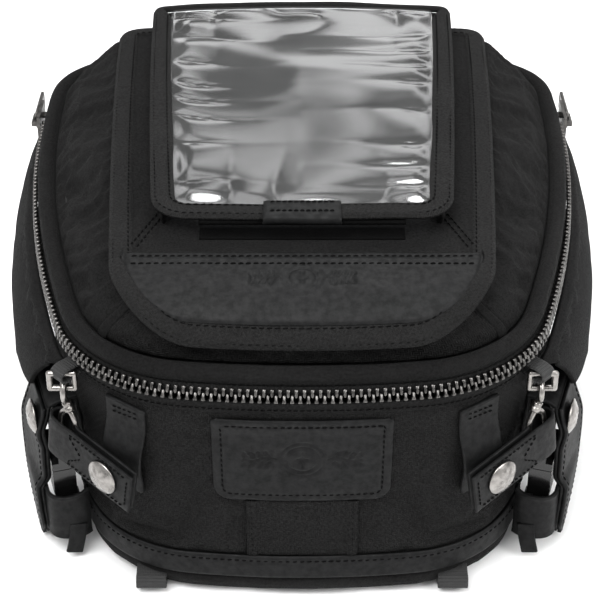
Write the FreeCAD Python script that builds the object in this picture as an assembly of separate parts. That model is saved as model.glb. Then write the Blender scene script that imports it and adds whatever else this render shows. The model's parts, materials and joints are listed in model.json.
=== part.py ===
import FreeCAD, Part
import math
import os

# Soft motorcycle tank bag, millimetres.
# Origin: centre of the base's underside. +Z up, +Y away from the rider, +X to the rider's right.
# Everything is mirror symmetric about the plane X = 0.

V = FreeCAD.Vector
UP = V(0, 0, 1)

# Plan outline at the zip, the widest level of the bag: eight arcs, each tangent to the next.
HALF_WIDTH = 135.4
WIDEST_Y = 81.0
SIDE_R = 600.0
NEAR_Y = -148.2
NEAR_R = 420.0
FAR_Y = 150.0
FAR_R = 700.0
CORNER_R = 67.0
FAR_CORNER_R = 45.0
MIN_CORNER_R = 2.0

# Longer than the bag in every direction, for the boxes and prisms that only cut.
BIG = 250.0

# Levels of the body, bottom to top.
SHEET_T = 1.5
BASE_TOP = 14.0
BAND_TOP = 27.0
WALL_TOP = 110.0
ZIP_Z = 124.5
ZIP_HALF_GAP = 0.8
TEETH_H = 3.7
TEETH_T = 2.8
TEETH_PROUD = (1.2, 0.8)
TAPE_T = 1.2
TAPE_LAP = 2.0
TAPE_TOP = 131.0
LID_Z = 131.5
ROOF_Z = 158.0
CROWN_Z = 162.0

# How far the body wall lies inside the zip outline, by level.
BODY_INSETS = [(BASE_TOP, 8.0), (60.0, 7.0), (100.0, 5.0), (WALL_TOP, 3.0)]

# Pieces sewn on the outside of the wall.
PATCH_HALF_W = 39.0
PATCH_BOTTOM = 61.0
PATCH_TOP = 109.5
PATCH_CORNER = 8.0
SLEEVE_HALF_W = 25.0
SLEEVE_T = 1.5
BAND_T = 2.5
CORNER_BINDING_TOP = 90.0
CORNER_BINDING_T = 3.0
CORNER_BINDING_Y = (-93.0, -87.0)
MOUNT_STRAP_X = -70.0
MOUNT_STRAP_W = 14.0
MOUNT_STRAP_Z = (3.0, 9.0)
MOUNT_STRAP_NEAR_Y = (-141.0, -128.0)
MOUNT_STRAP_FAR_Y = (132.0, 146.0)

# Fabric build-up.
SHELL_T = 2.5
PADDING_T = 4.0
LEATHER_T = 2.0
BOARD_T = 2.0
BOARD_CLEAR = 0.5
HINGE_T = 1.5
SEAM_GAP = 0.1

# Underside: the sheet's inset, and the pad's inset by level.
SHEET_INSET = 13.0
PAD_LEVELS = [(SHEET_T, 12.0), (6.0, 10.0), (BASE_TOP, 9.0)]
PAD_CLEAR = 0.2

# Where the body's panels meet.
NEAR_SEAM_Y = -88.0
FAR_SEAM_Y = 108.0
LID_SEAM_Y = -112.0
ZIP_END_Y = 77.0

# Top flap and the clear map window on it.
TAPER_Y = 350.0
FLAP_HALF_W = 102.4
FLAP_NEAR_Y = -141.5
FLAP_FAR_Y = 136.0
FLAP_BINDING_W = 11.0
FLAP_T = 3.0
BINDING_T = 4.2
FLAP_BEND_Y = -98.0
LIP_MID = (-128.0, 5.0)
LIP_END = (-143.0, 141.0)
PATCH_LAP = 2.0
PATCH_GAP = 0.05
PATCH_T = 1.5
SHEET_HALF_W = 110.0
CROWN_Y = -20.0
CROWN_R = 1400.0
WINDOW_NEAR_Y = -88.0
WINDOW_FAR_Y = 138.5
WINDOW_HALF_W = 84.2
WINDOW_BINDING_W = 11.0
WINDOW_FAR_BINDING_W = 3.5
SLEEVE_H = 10.0
VINYL_T = 0.8
POCKET_STRIP_HALF = 40.0
PULL_TAB_HALF = 17.0
WINDOW_STRIP_HALF = 45.0
WINDOW_STRIP_Y = (-87.0, -78.0)
POCKET_STRIP_Z = (146.0, 154.0)
STRIP_T = 2.0
WINDOW_BINDING_T = 3.0
GUSSET_INSET = (4.0, 5.5)
GUSSET_NEAR_Y = -60.0
PULL_TAB_T = 1.6

# Leather fittings at the near corners, given for the left side (X < 0).
KEEPER_X = -74.0
KEEPER_W = 20.0
KEEPER_LOW = 60.0
KEEPER_TOP = 109.0
KEEPER_BOW = 3.5
KEEPER_GAP = 0.8
KEEPER_LEAN = 7.0
TETHER_W = 22.0
TETHER_T = 3.5
TETHER_PIVOT = V(-109.5, -113.0, 77.0)
TETHER_TIP = V(-72.5, -144.5, 68.5)
TETHER_LIFT = 1.7
FOLD_R = 5.2
FOLD_HOLE_R = 2.2
CONCHO_AT = 33.0
CONCHO_R = 8.3
CONCHO_H = 3.6
CONCHO_RIM = 0.8
STUD_R = 4.0
WIRE_R = 1.4
EYE_MARGIN = 2.0
EYE_DEPTH = 9.5
EYE_APEX = 5.0
HOOK_R = 5.2
HOOK_WIRE_R = 1.3
HOOK_CUT = 3.7
GATE_R = 1.0
GATE_X = 3.6
BAR_SHIFT = 1.6
CROOK_SHIFT = V(-1.5, 2.0, 0.0)
D_RING_Z = 105.0
D_RING_H = 8.0
D_RING_SIDES = (-6.0, 5.0)
RING_WEBBING_SIDES = (-4.5, 3.5)
RING_WEBBING_T = 1.4
FITTING_Y = -92.0
WALL_CLEAR = 3.2
BINDING_CLEAR = 4.7
SIDE_STRAP_Y = (-24.0, 8.0)
SIDE_STRAP_OUT = 20.0
SIDE_STRAP_T = 4.0
SIDE_STRAP_TOP = 82.5
SIDE_STRAP_END = 2.0
SIDE_STRAP_POINT = (8.0, 12.0)
SIDE_CONCHO_DROP = 9.5
SIDE_CONCHO_INSET = 9.0
BUCKLE_Y = -3.0
BUCKLE_OUT = 11.8
BUCKLE_HALF_W = 13.5
BUCKLE_HALF_T = 5.3
BUCKLE_WALL = 1.5
BUCKLE_RAIL = 2.0
BUCKLE_RAIL_HALF_T = 2.2
BUCKLE_BAR_R = 1.8
BUCKLE_BAR_Z = 25.0
BUCKLE_LOW = 32.0
BUCKLE_SPLIT_Z = 47.0
BUCKLE_LIP = 4.0
BUCKLE_TOP = 60.0
PRONG_HALF_W = 1.4
PRONG_HALF_T = 2.0
PRONG_GAP = 1.0
PRONG_REACH = 10.5
WEBBING_HALF_W = 10.0
WEBBING_T = 2.0
UPPER_WEBBING_Z = 77.0
LOWER_WEBBING_Z = 16.0
HANGER_T = 3.0
WEBBING_REACH = 16.0
EAR_T = 2.2
EAR_OUT = 18.0
EAR_Z = (11.0, 31.3)
EAR_BEND = [(3.4, 15.0), (10.0, 16.2)]
EAR_FACE_Y = 12.6
EAR_BEVEL = 1.2
EAR_END_Y = -6.0
EAR_TAIL_OUT = (5.0, 13.0)
EAR_TAIL_Y = (16.4, 18.4)
EAR_TAIL_Z = 4.0
EAR_TAIL_W = 8.0
EAR_STUD_Y = -1.0
EAR_STUD_Z = 21.5

# Sliders of the zip, parked past the ends of the chain.
SLIDER_L = 20.0
SLIDER_H = 13.0
SLIDER_Y = 89.0
SLIDER_OUTER = (2.2, 3.8)
SLIDER_INNER = (-4.8, -3.3)
BRIDGE_X = (3.0, 8.0)
BRIDGE_HALF_H = 0.5
BAIL_H = 3.8
BAIL_HALF_L = 5.0
BAIL_WIRE = 1.7
BAIL_HALF_T = 1.2
PULL_L = 22.0
PULL_HALF_W = 4.0
PULL_WIRE_R = 1.0
PULL_PLATE_X = 9.0
PULL_PLATE_HALF_T = 0.8
PULL_OFFSET = 1.3


class Plan:
    """Closed plan outline of eight tangent arcs, symmetric about X = 0."""

    def __init__(self, half_width, widest_y, side_r, near_y, near_r, far_y, far_r, near_corner, far_corner):
        self.half_width = half_width
        self.widest_y = widest_y
        self.side_r = side_r
        self.near_y = near_y
        self.near_r = near_r
        self.far_y = far_y
        self.far_r = far_r
        self.near_corner = near_corner
        self.far_corner = far_corner

    def inset(self, d):
        """The concentric outline that lies d inside this one."""
        return Plan(
            self.half_width - d, self.widest_y, self.side_r - d,
            self.near_y + d, self.near_r - d, self.far_y - d, self.far_r - d,
            max(self.near_corner - d, MIN_CORNER_R), max(self.far_corner - d, MIN_CORNER_R),
        )

    def corner(self, end_centre_y, end_r, corner_r, side):
        """Corner arc's centre, its join with the side arc and its join with the end arc."""
        sx = self.half_width - self.side_r
        sy = self.widest_y
        r1 = self.side_r - corner_r
        r2 = end_r - corner_r
        dx = -sx
        dy = end_centre_y - sy
        d = math.hypot(dx, dy)
        a = (r1 * r1 - r2 * r2 + d * d) / (2 * d)
        h = math.sqrt(r1 * r1 - a * a) * side
        centre = V(sx + (a * dx - h * dy) / d, sy + (a * dy + h * dx) / d, 0)
        from_side = (centre - V(sx, sy, 0)).normalize()
        from_end = (centre - V(0, end_centre_y, 0)).normalize()
        return centre, centre + from_side * corner_r, centre + from_end * corner_r

    def wire(self, z):
        near_centre_y = self.near_y + self.near_r
        far_centre_y = self.far_y - self.far_r
        near_c, near_side, near_end = self.corner(near_centre_y, self.near_r, self.near_corner, -1)
        far_c, far_side, far_end = self.corner(far_centre_y, self.far_r, self.far_corner, 1)
        near_mid = bulge_point(near_c, near_side, near_end, self.near_corner)
        far_mid = bulge_point(far_c, far_side, far_end, self.far_corner)
        middle_y = (near_side.y + far_side.y) / 2
        side_mid = V(self.side_x(middle_y), middle_y, 0)
        run = [near_end, near_mid, near_side, side_mid, far_side, far_mid, far_end]
        left = [V(-p.x, p.y, 0) for p in reversed(run)]
        near_tip = V(0, self.near_y, 0)
        far_tip = V(0, self.far_y, 0)
        points = run + [far_tip] + left + [near_tip, near_end]
        edges = []
        for i in range(0, len(points) - 1, 2):
            edges.append(Part.Arc(points[i], points[i + 1], points[i + 2]).toShape())
        wire = Part.Wire(edges)
        wire.translate(V(0, 0, z))
        return wire

    def prism(self, z0, z1):
        return Part.Face(self.wire(z0)).extrude(V(0, 0, z1 - z0))

    def side_x(self, y):
        """Half-width on the side arc at a given y."""
        return self.half_width - self.side_r + math.sqrt(self.side_r ** 2 - (y - self.widest_y) ** 2)


def bulge_point(centre, a, b, r):
    """Middle of the arc of radius r about centre between a and b."""
    direction = (a - centre) + (b - centre)
    return centre + direction.normalize() * r


ZIP_PLAN = Plan(HALF_WIDTH, WIDEST_Y, SIDE_R, NEAR_Y, NEAR_R, FAR_Y, FAR_R, CORNER_R, FAR_CORNER_R)
FLAP_PLAN = Plan(FLAP_HALF_W, TAPER_Y, 5350.0, FLAP_NEAR_Y, 1200.0, FLAP_FAR_Y, 700.0, 39.0, 13.0)
WINDOW_PLAN = Plan(WINDOW_HALF_W, TAPER_Y, 5080.0, WINDOW_NEAR_Y, 1200.0, WINDOW_FAR_Y, 400.0, 17.0, 8.0)


def box(x0, x1, y0, y1, z0, z1):
    return Part.makeBox(x1 - x0, y1 - y0, z1 - z0, V(x0, y0, z0))


def mirrored(shape):
    return shape.mirror(V(0, 0, 0), V(1, 0, 0))


def both(shape):
    """The left solid and its right-hand mirror image, as one group."""
    return Part.makeCompound([shape, mirrored(shape)])


def loft(levels):
    """Solid through concentric zip outlines given as (z, inset)."""
    wires = [ZIP_PLAN.inset(inset).wire(z) for z, inset in levels]
    return Part.makeLoft(wires, True, True)


def ring(levels, thickness):
    """Open ring whose outer face passes through (z, inset), with its thickness inwards."""
    inner = [(z, inset + thickness) for z, inset in levels]
    return loft(levels).cut(loft(inner))


def body_inset(z):
    """Inset of the body's outer face at level z."""
    for (z0, a), (z1, b) in zip(BODY_INSETS, BODY_INSETS[1:]):
        if z <= z1:
            return a + (b - a) * (z - z0) / (z1 - z0)
    return BODY_INSETS[-1][1]


def skin(z0, z1, thickness, gap=SEAM_GAP):
    """Ring that lies on the outside of the body wall, from z0 to z1."""
    levels = [z0] + [z for z, _ in BODY_INSETS if z0 < z < z1] + [z1]
    outer = [(z, body_inset(z) - gap - thickness) for z in levels]
    return ring(outer, thickness)


def near_half(shape, y):
    return shape.common(box(-BIG, BIG, -BIG, y, -BIG, BIG))


def wall_point(x, z):
    """Point of the near corner's wall at x < 0, and the wall's outward direction there."""
    plan = ZIP_PLAN.inset(body_inset(z))
    centre, side_join, end_join = plan.corner(plan.near_y + plan.near_r, plan.near_r, plan.near_corner, -1)
    dx = -x - centre.x
    dy = -math.sqrt(max(plan.near_corner ** 2 - dx * dx, 0.0))
    point = V(x, centre.y + dy, z)
    outward = V(-dx, dy, 0).normalize()
    return point, outward


def placed(shape, origin, x_dir, z_dir):
    """Move a shape from local axes to a frame with the given X and Z directions."""
    y_dir = z_dir.cross(x_dir)
    shape = shape.copy()
    shape.Placement = FreeCAD.Placement(origin, FreeCAD.Rotation(x_dir, y_dir, z_dir, "ZXY"))
    return shape


def extruded(points, direction):
    """Prism over a closed polygon."""
    return Part.Face(Part.makePolygon(points + [points[0]])).extrude(direction)


def rod(a, b, r):
    return Part.makeCylinder(r, (b - a).Length, a, b - a)


def wire_loop(points, r):
    """Closed loop of round wire through the points, with round corners."""
    solid = None
    for a, b in zip(points, points[1:] + points[:1]):
        piece = rod(a, b, r).fuse(Part.makeSphere(r, b))
        solid = piece if solid is None else solid.fuse(piece)
    return solid.removeSplitter()


# ---------------------------------------------------------------- body

def body_shell():
    return ring(BODY_INSETS, SHELL_T)


def body_panels():
    shell = body_shell()
    return {
        "rider_panel": near_half(shell, NEAR_SEAM_Y),
        "side_panels": shell.common(box(-BIG, BIG, NEAR_SEAM_Y, FAR_SEAM_Y, 0, BIG)),
        "far_panel": shell.common(box(-BIG, BIG, FAR_SEAM_Y, BIG, 0, BIG)),
    }


def body_lining():
    levels = [(z, inset + SHELL_T) for z, inset in BODY_INSETS]
    return ring(levels, PADDING_T)


def base_parts():
    sheet = loft([(0, SHEET_INSET), (SHEET_T, SHEET_INSET)])
    pad = loft(PAD_LEVELS)
    clear = BODY_INSETS[0][1] + SHELL_T + PADDING_T + BOARD_CLEAR
    board = loft([(BASE_TOP, clear), (BASE_TOP + BOARD_T, clear)])
    return {"nonslip_sheet": sheet, "base_pad": pad, "base_board": board}


def leather_band():
    """Leather strip round the near corners, just above the base."""
    return near_half(skin(BASE_TOP, BAND_TOP, BAND_T), NEAR_SEAM_Y - 1.0)


def rider_patch():
    """Stitched leather patch in the middle of the near wall."""
    plate = box(-PATCH_HALF_W, PATCH_HALF_W, -BIG, NEAR_SEAM_Y, PATCH_BOTTOM, PATCH_TOP)
    lower = [e for e in plate.Edges if e.BoundBox.ZMax < PATCH_BOTTOM + 1 and e.BoundBox.YLength > 50]
    plate = plate.makeFillet(PATCH_CORNER, lower)
    return skin(PATCH_BOTTOM, PATCH_TOP, LEATHER_T).common(plate)


def centre_sleeve():
    """Flat fabric sleeve between the patch and the band."""
    strip = box(-SLEEVE_HALF_W, SLEEVE_HALF_W, -BIG, NEAR_SEAM_Y, 0, BIG)
    return skin(BAND_TOP + 0.5, PATCH_BOTTOM - 0.5, SLEEVE_T).common(strip)


def corner_bindings():
    """Ribbed tape that binds the near panel's side edges."""
    seam = box(-BIG, 0, *CORNER_BINDING_Y, 0, BIG)
    strip = skin(BAND_TOP + 1.0, CORNER_BINDING_TOP, CORNER_BINDING_T).common(seam)
    return both(strip)


def mount_straps():
    """Folded free ends of the four straps that tie the bag to the motorcycle."""
    x0 = MOUNT_STRAP_X - MOUNT_STRAP_W / 2
    x1 = MOUNT_STRAP_X + MOUNT_STRAP_W / 2
    pad = loft([(z, inset - PAD_CLEAR) for z, inset in PAD_LEVELS])
    stubs = [box(x0, x1, *ends, *MOUNT_STRAP_Z).cut(pad) for ends in (MOUNT_STRAP_NEAR_Y, MOUNT_STRAP_FAR_Y)]
    return Part.makeCompound(stubs + [mirrored(s) for s in stubs])


def body_tape():
    """Lower zip tape: from the wall's top edge up to the teeth."""
    z_top = ZIP_Z - ZIP_HALF_GAP - TEETH_H
    levels = [(WALL_TOP, TAPE_LAP), (z_top, 0.5)]
    return near_half(ring(levels, TAPE_T), ZIP_END_Y)


def body_teeth():
    top = ZIP_Z - ZIP_HALF_GAP
    proud = TEETH_PROUD[0]
    return near_half(ring([(top - TEETH_H, -proud), (top, -proud)], TEETH_T), ZIP_END_Y)


def hinge_strip():
    """Fabric strip at the far end that the lid turns on."""
    strip = ring([(WALL_TOP, TAPE_LAP), (LID_Z - 1.0, TAPE_LAP)], HINGE_T)
    return strip.common(box(-BIG, BIG, FAR_SEAM_Y, BIG, 0, BIG))


# ---------------------------------------------------------------- lid

LID_LEVELS = [
    # level, half-width, near y, far y, near corner radius, far corner radius
    (LID_Z + 2.5, 125.4, -138.2, 140.0, 55.0, 45.0),
    (LID_Z + 12.0, 118.0, -135.0, 139.0, 49.0, 38.0),
    (LID_Z + 20.0, 107.0, -128.0, 137.5, 41.0, 28.0),
    (ROOF_Z, 94.0, -112.0, 136.0, 33.0, 16.0),
]


def lid_plan(half_width, near_y, far_y, near_corner, far_corner):
    return Plan(half_width, WIDEST_Y, SIDE_R, near_y, NEAR_R, far_y, FAR_R, near_corner, far_corner)


def lid_loft(inset):
    """Solid inside the lid's outer face, moved inwards by inset."""
    wires = []
    for z, half_width, near_y, far_y, near_corner, far_corner in LID_LEVELS:
        plan = lid_plan(half_width, near_y, far_y, near_corner, far_corner)
        wires.append(plan.inset(inset).wire(z))
    return Part.makeLoft(wires, True, True)


def under_crown():
    """Everything just below the crowned top."""
    depth = 60.0
    return crown_sheet(-depth - 0.3, depth, 150, -160, 160)


def lid_shell():
    """Padded lid between the zip and the flap, open at the top as the pocket's mouth."""
    return lid_loft(0.0).cut(lid_loft(PADDING_T)).common(under_crown())


def lid_walls():
    """The near wall is one panel and the sides with the far end are another."""
    shell = lid_shell()
    near_wall = near_half(shell, LID_SEAM_Y)
    return {"lid_near_wall": near_wall, "lid_side_walls": shell.cut(near_wall)}


def pocket_floor():
    """Padded panel that closes the main compartment and carries the pocket."""
    low = lid_plan(121.0, -134.0, 136.0, 48.0, 41.0)
    wires = [low.wire(LID_Z + 2.5), low.inset(2.5).wire(LID_Z + 5.5)]
    body = Part.makeLoft(wires, True, True)
    return body.common(lid_loft(PADDING_T + 0.1))


def lid_tape():
    """Upper zip tape: up from the teeth."""
    z_low = ZIP_Z + ZIP_HALF_GAP + TEETH_H
    return near_half(ring([(z_low, 1.0), (TAPE_TOP, TAPE_LAP)], TAPE_T), ZIP_END_Y)


def lid_teeth():
    low = ZIP_Z + ZIP_HALF_GAP
    proud = TEETH_PROUD[1]
    return near_half(ring([(low, -proud), (low + TEETH_H, -proud)], TEETH_T), ZIP_END_Y)


def lid_rim():
    """Fabric rim and piping between the zip tape and the lid's walls."""
    return ring([(TAPE_TOP + 0.1, 1.5), (LID_Z + 2.3, 3.0)], 11.0)


# ---------------------------------------------------------------- flap and window

def crown_z(y, rise=0.0):
    """Level of the crowned top at a given y."""
    return CROWN_Z + rise - (y - CROWN_Y) ** 2 / (2 * CROWN_R)


def crown_sheet(rise, thickness, half_width, y0, y1):
    """Sheet that follows the crowned top from y0 to y1, bottom face at the given rise."""
    middle = (y0 + y1) / 2
    edges = []
    low = [V(-half_width, y, crown_z(y, rise)) for y in (y0, middle, y1)]
    high = [V(-half_width, y, crown_z(y, rise + thickness)) for y in (y1, middle, y0)]
    edges.append(Part.Arc(*low).toShape())
    edges.append(Part.makeLine(low[2], high[0]))
    edges.append(Part.Arc(*high).toShape())
    edges.append(Part.makeLine(high[2], low[0]))
    return Part.Face(Part.Wire(edges)).extrude(V(2 * half_width, 0, 0))


def lip_sheet(rise, thickness):
    """Sheet that bends down over the near wall, joined to the crowned top at the bend."""
    spine = [
        # point on the lower face, and the outward direction there
        (V(0, FLAP_BEND_Y, crown_z(FLAP_BEND_Y)), V(0, 0, 1)),
        (V(0, LIP_MID[0], crown_z(FLAP_BEND_Y) - LIP_MID[1]), V(0, -0.45, 0.89)),
        (V(0, *LIP_END), V(0, -0.86, 0.51)),
    ]
    low = [point + outward * rise for point, outward in spine]
    high = [point + outward * (rise + thickness) for point, outward in spine]
    edges = [
        Part.Arc(*low).toShape(),
        Part.makeLine(low[2], high[2]),
        Part.Arc(high[2], high[1], high[0]).toShape(),
        Part.makeLine(high[0], low[0]),
    ]
    face = Part.Face(Part.Wire(edges))
    face.translate(V(-SHEET_HALF_W, 0, 0))
    return face.extrude(V(2 * SHEET_HALF_W, 0, 0))


def flap_sheet(rise, thickness):
    top = crown_sheet(rise, thickness, SHEET_HALF_W, FLAP_BEND_Y, FLAP_FAR_Y + 4)
    return top.fuse(lip_sheet(rise, thickness)).removeSplitter()


def flap_parts():
    outer = FLAP_PLAN.prism(0, BIG)
    inner = FLAP_PLAN.inset(FLAP_BINDING_W).prism(0, BIG)
    panel = flap_sheet(0.0, FLAP_T).common(inner)
    binding = flap_sheet(-0.2, BINDING_T).common(outer.cut(inner))
    patch_plan = FLAP_PLAN.inset(FLAP_BINDING_W + 0.3)
    patch = flap_sheet(FLAP_T + PATCH_GAP, PATCH_T).common(patch_plan.prism(0, BIG))
    return {
        "flap_panel": panel,
        "flap_binding": binding,
        "flap_patch": near_half(patch, FLAP_BEND_Y + PATCH_LAP),
    }


def window_parts():
    base = FLAP_T + SLEEVE_H
    near = WINDOW_NEAR_Y - 2
    far = WINDOW_FAR_Y + 2
    outer = WINDOW_PLAN.prism(0, BIG)
    inner_plan = WINDOW_PLAN.inset(WINDOW_BINDING_W)
    inner_plan.far_y = WINDOW_FAR_Y - WINDOW_FAR_BINDING_W
    inner = inner_plan.prism(0, BIG)
    frame = crown_sheet(base, WINDOW_BINDING_T, SHEET_HALF_W, near, far).common(outer.cut(inner))
    vinyl = crown_sheet(base + 1.0, VINYL_T, SHEET_HALF_W, near, far)
    vinyl = vinyl.common(inner_plan.inset(0.05).prism(0, BIG))
    gusset_outer, gusset_inner = [WINDOW_PLAN.inset(inset).prism(0, BIG) for inset in GUSSET_INSET]
    gusset = crown_sheet(BINDING_T, SLEEVE_H + FLAP_T - BINDING_T - 0.1, SHEET_HALF_W, GUSSET_NEAR_Y, far)
    gusset = gusset.common(gusset_outer.cut(gusset_inner))
    return {"window_binding": frame, "clear_window": vinyl, "window_gusset": gusset}


def window_closures():
    """Leather pull tab at the window's near edge and the hook strip under that edge."""
    rise = FLAP_T + SLEEVE_H
    tab_near = WINDOW_NEAR_Y - 2.0
    tab_far = WINDOW_NEAR_Y + WINDOW_BINDING_W
    tab = crown_sheet(rise + WINDOW_BINDING_T + 0.1, PULL_TAB_T, PULL_TAB_HALF, tab_near, tab_far)
    hook = crown_sheet(rise - STRIP_T - 0.1, STRIP_T, WINDOW_STRIP_HALF, *WINDOW_STRIP_Y)
    return {"window_pull_tab": tab, "window_hook_strip": hook}


def closure_strips():
    """Strips on the flap, for the window and the pocket, and the strip on the lid's near wall."""
    zone = box(-POCKET_STRIP_HALF, POCKET_STRIP_HALF, -BIG, FLAP_BEND_Y, *POCKET_STRIP_Z)
    wall_loop = lid_loft(-1.8).cut(lid_loft(-0.2)).common(zone)
    flap_hook = lip_sheet(-1.9, 1.3).common(zone)
    flap_loop = crown_sheet(FLAP_T + 0.1, STRIP_T, WINDOW_STRIP_HALF, *WINDOW_STRIP_Y)
    return {
        "pocket_loop_strip": wall_loop,
        "flap_closure_strips": Part.makeCompound([flap_hook, flap_loop]),
    }


# ---------------------------------------------------------------- wings

WING_LEVELS = [(109.0, -4.5), (104.0, -9.5), (98.0, -12.5), (88.0, -15.5), (70.0, -16.5)]
WING_T = 3.0
WING_NEAR_EDGE = (V(-103.5, -108.0, 0), V(-127.0, -93.0, 0))
WING_LOW_EDGE = (V(-BIG, -98.0, 91.0), V(-BIG, -35.0, 70.0))
WING_FAR_Y = 108.0


def wing():
    """Left fabric wing that hangs over the side, its near lower corner cut away."""
    shell = ring(WING_LEVELS, WING_T)
    inner, outer = WING_NEAR_EDGE
    slant = (outer - inner).normalize() * 100
    zone = [inner - slant, inner + slant, V(-BIG, WING_FAR_Y, 0), V(0, WING_FAR_Y, 0)]
    corner, end = WING_LOW_EDGE
    low = [corner, end, V(-BIG, end.y, 0), V(-BIG, corner.y, 0)]
    return shell.common(extruded(zone, V(0, 0, BIG))).cut(extruded(low, V(BIG, 0, 0)))


# ---------------------------------------------------------------- near corner fittings, left side

def at_corner(shape):
    """Place a shape at the near left corner: local X out of the wall, Y along it to the rider."""
    plan = ZIP_PLAN.inset(body_inset(60.0))
    slope = (FITTING_Y - plan.widest_y) / plan.side_r
    outward = V(-math.sqrt(1 - slope * slope), slope, 0)
    return placed(shape, V(-plan.side_x(FITTING_Y), FITTING_Y, 0), outward, UP)


def along_corner(points, y0, y1):
    """Prism with its section (out, level) in the corner's local axes, from y0 to y1."""
    return at_corner(extruded([V(x, y0, z) for x, z in points], V(0, y1 - y0, 0)))


def keeper():
    """Leather loop sewn to the near wall at both ends and bowed out between them."""
    point, outward = wall_point(KEEPER_X, 82.0)
    low = KEEPER_LOW
    top = KEEPER_TOP
    gap = KEEPER_GAP
    bow = KEEPER_BOW
    bow_by_level = [(low, gap), (low + 4, gap), (low + 13, bow), (low + 25, bow), (top - 12, gap), (top, gap)]
    inner = []
    for z, bow in bow_by_level:
        other, _ = wall_point(KEEPER_X, z)
        lean = V(other.x - point.x, other.y - point.y, 0).dot(outward)
        inner.append(V(bow + lean, 0, z))
    outer = [p + V(LEATHER_T, 0, 0) for p in inner]
    faces = []
    for row in (inner, list(reversed(outer))):
        curve = Part.BSplineCurve()
        curve.interpolate(row)
        faces.append(curve.toShape())
    top_end = Part.makeLine(inner[-1], outer[-1])
    low_end = Part.makeLine(outer[0], inner[0])
    wire = Part.Wire([faces[0], top_end, faces[1], low_end])
    strip = Part.Face(wire).extrude(V(0, KEEPER_W, 0))
    strip.translate(V(0, -KEEPER_W / 2, 0))
    strip = placed(strip, V(point.x, point.y, 0), outward, UP)
    strip.rotate(V(point.x, point.y, 105), outward, KEEPER_LEAN)
    return strip


def tether_axes():
    """Strap's outward direction, length direction and width direction."""
    along = (TETHER_TIP - TETHER_PIVOT).normalize()
    outward = along.cross(UP).normalize()
    return outward, along, outward.cross(along)


def on_tether(shape):
    """Place a shape in the strap's axes: X out of it, Y along it, Z across its width."""
    outward, along, up = tether_axes()
    shape = shape.copy()
    shape.Placement = FreeCAD.Placement(TETHER_PIVOT, FreeCAD.Rotation(outward, along, up, "ZXY"))
    return shape


def tether_point(out, length, width):
    outward, along, up = tether_axes()
    return TETHER_PIVOT + outward * out + along * length + up * width


def tether_strap():
    """Two-layer leather strap, folded round the hook's eye at its outer end."""
    half = TETHER_W / 2
    length = (TETHER_TIP - TETHER_PIVOT).Length
    slab = box(TETHER_LIFT, TETHER_LIFT + TETHER_T, 0, length, -half, half)
    fold = Part.makeCylinder(FOLD_R, TETHER_W, V(0, 0, -half))
    hole = Part.makeCylinder(FOLD_HOLE_R, TETHER_W + 2, V(0, 0, -half - 1))
    return on_tether(slab.fuse(fold).cut(hole).removeSplitter())


def concho():
    """Domed snap cap, its flat back at the origin and its dome towards +Z."""
    dome = CONCHO_H - CONCHO_RIM
    sphere_r = (CONCHO_R ** 2 + dome ** 2) / (2 * dome)
    ball = Part.makeSphere(sphere_r, V(0, 0, CONCHO_H - sphere_r))
    return Part.makeCylinder(CONCHO_R, CONCHO_H + 1).common(ball)


def tether_concho():
    outward, along, _ = tether_axes()
    foot = tether_point(TETHER_LIFT + TETHER_T + 0.02, CONCHO_AT, 0)
    return placed(concho(), foot, along, outward)


def tether_stud():
    """Snap stud from the wall to the back of the strap."""
    outward = tether_axes()[0]
    top = tether_point(TETHER_LIFT - 0.2, CONCHO_AT, 0)
    stud = Part.makeCylinder(STUD_R, 30, top - outward * 30, outward)
    return stud.cut(loft([(z, inset - 0.05) for z, inset in BODY_INSETS]))


def hook_crook():
    """Centre of the hook's round end."""
    apex = tether_point(0, EYE_DEPTH / 2, TETHER_W / 2 + EYE_MARGIN + EYE_APEX)
    return V(apex.x, apex.y, D_RING_Z - BAR_SHIFT) + CROOK_SHIFT


def in_crook(shape):
    """Place a shape in the hook's plane: local X to +Y, local Y up."""
    shape = shape.copy()
    shape.Placement = FreeCAD.Placement(hook_crook(), FreeCAD.Rotation(V(0, 1, 0), UP, V(1, 0, 0), "ZXY"))
    return shape


def snap_hook():
    """Eye round the strap, shank and open hook over the ring."""
    half = TETHER_W / 2 + EYE_MARGIN
    corners = [
        V(0, 0, -half), V(0, EYE_DEPTH, -half), V(0, EYE_DEPTH, half),
        V(0, EYE_DEPTH / 2, half + EYE_APEX), V(0, 0, half),
    ]
    eye = on_tether(wire_loop(corners, WIRE_R))
    apex = tether_point(0, EYE_DEPTH / 2, half + EYE_APEX)
    shank = rod(apex, hook_crook() + V(0, -1.0, -HOOK_R + 0.3), 1.6)
    round_end = Part.makeTorus(HOOK_R, HOOK_WIRE_R)
    round_end = round_end.cut(box(0, 10, -HOOK_CUT, HOOK_CUT, -3, 3))
    return eye.fuse([shank, in_crook(round_end)]).removeSplitter()


def hook_gate():
    """Straight sprung gate across the hook's gap."""
    half = HOOK_CUT - 0.3
    return in_crook(rod(V(GATE_X, -half, 0), V(GATE_X, half, 0), GATE_R))


def d_ring():
    """Four-sided ring of round wire that the hook hangs on."""
    crook = hook_crook()
    y = crook.y - BAR_SHIFT
    top = D_RING_Z + D_RING_H
    left = crook.x + D_RING_SIDES[0]
    right = crook.x + D_RING_SIDES[1]
    return wire_loop([V(left, y, D_RING_Z), V(right, y, D_RING_Z), V(right, y, top), V(left, y, top)], WIRE_R)


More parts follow.
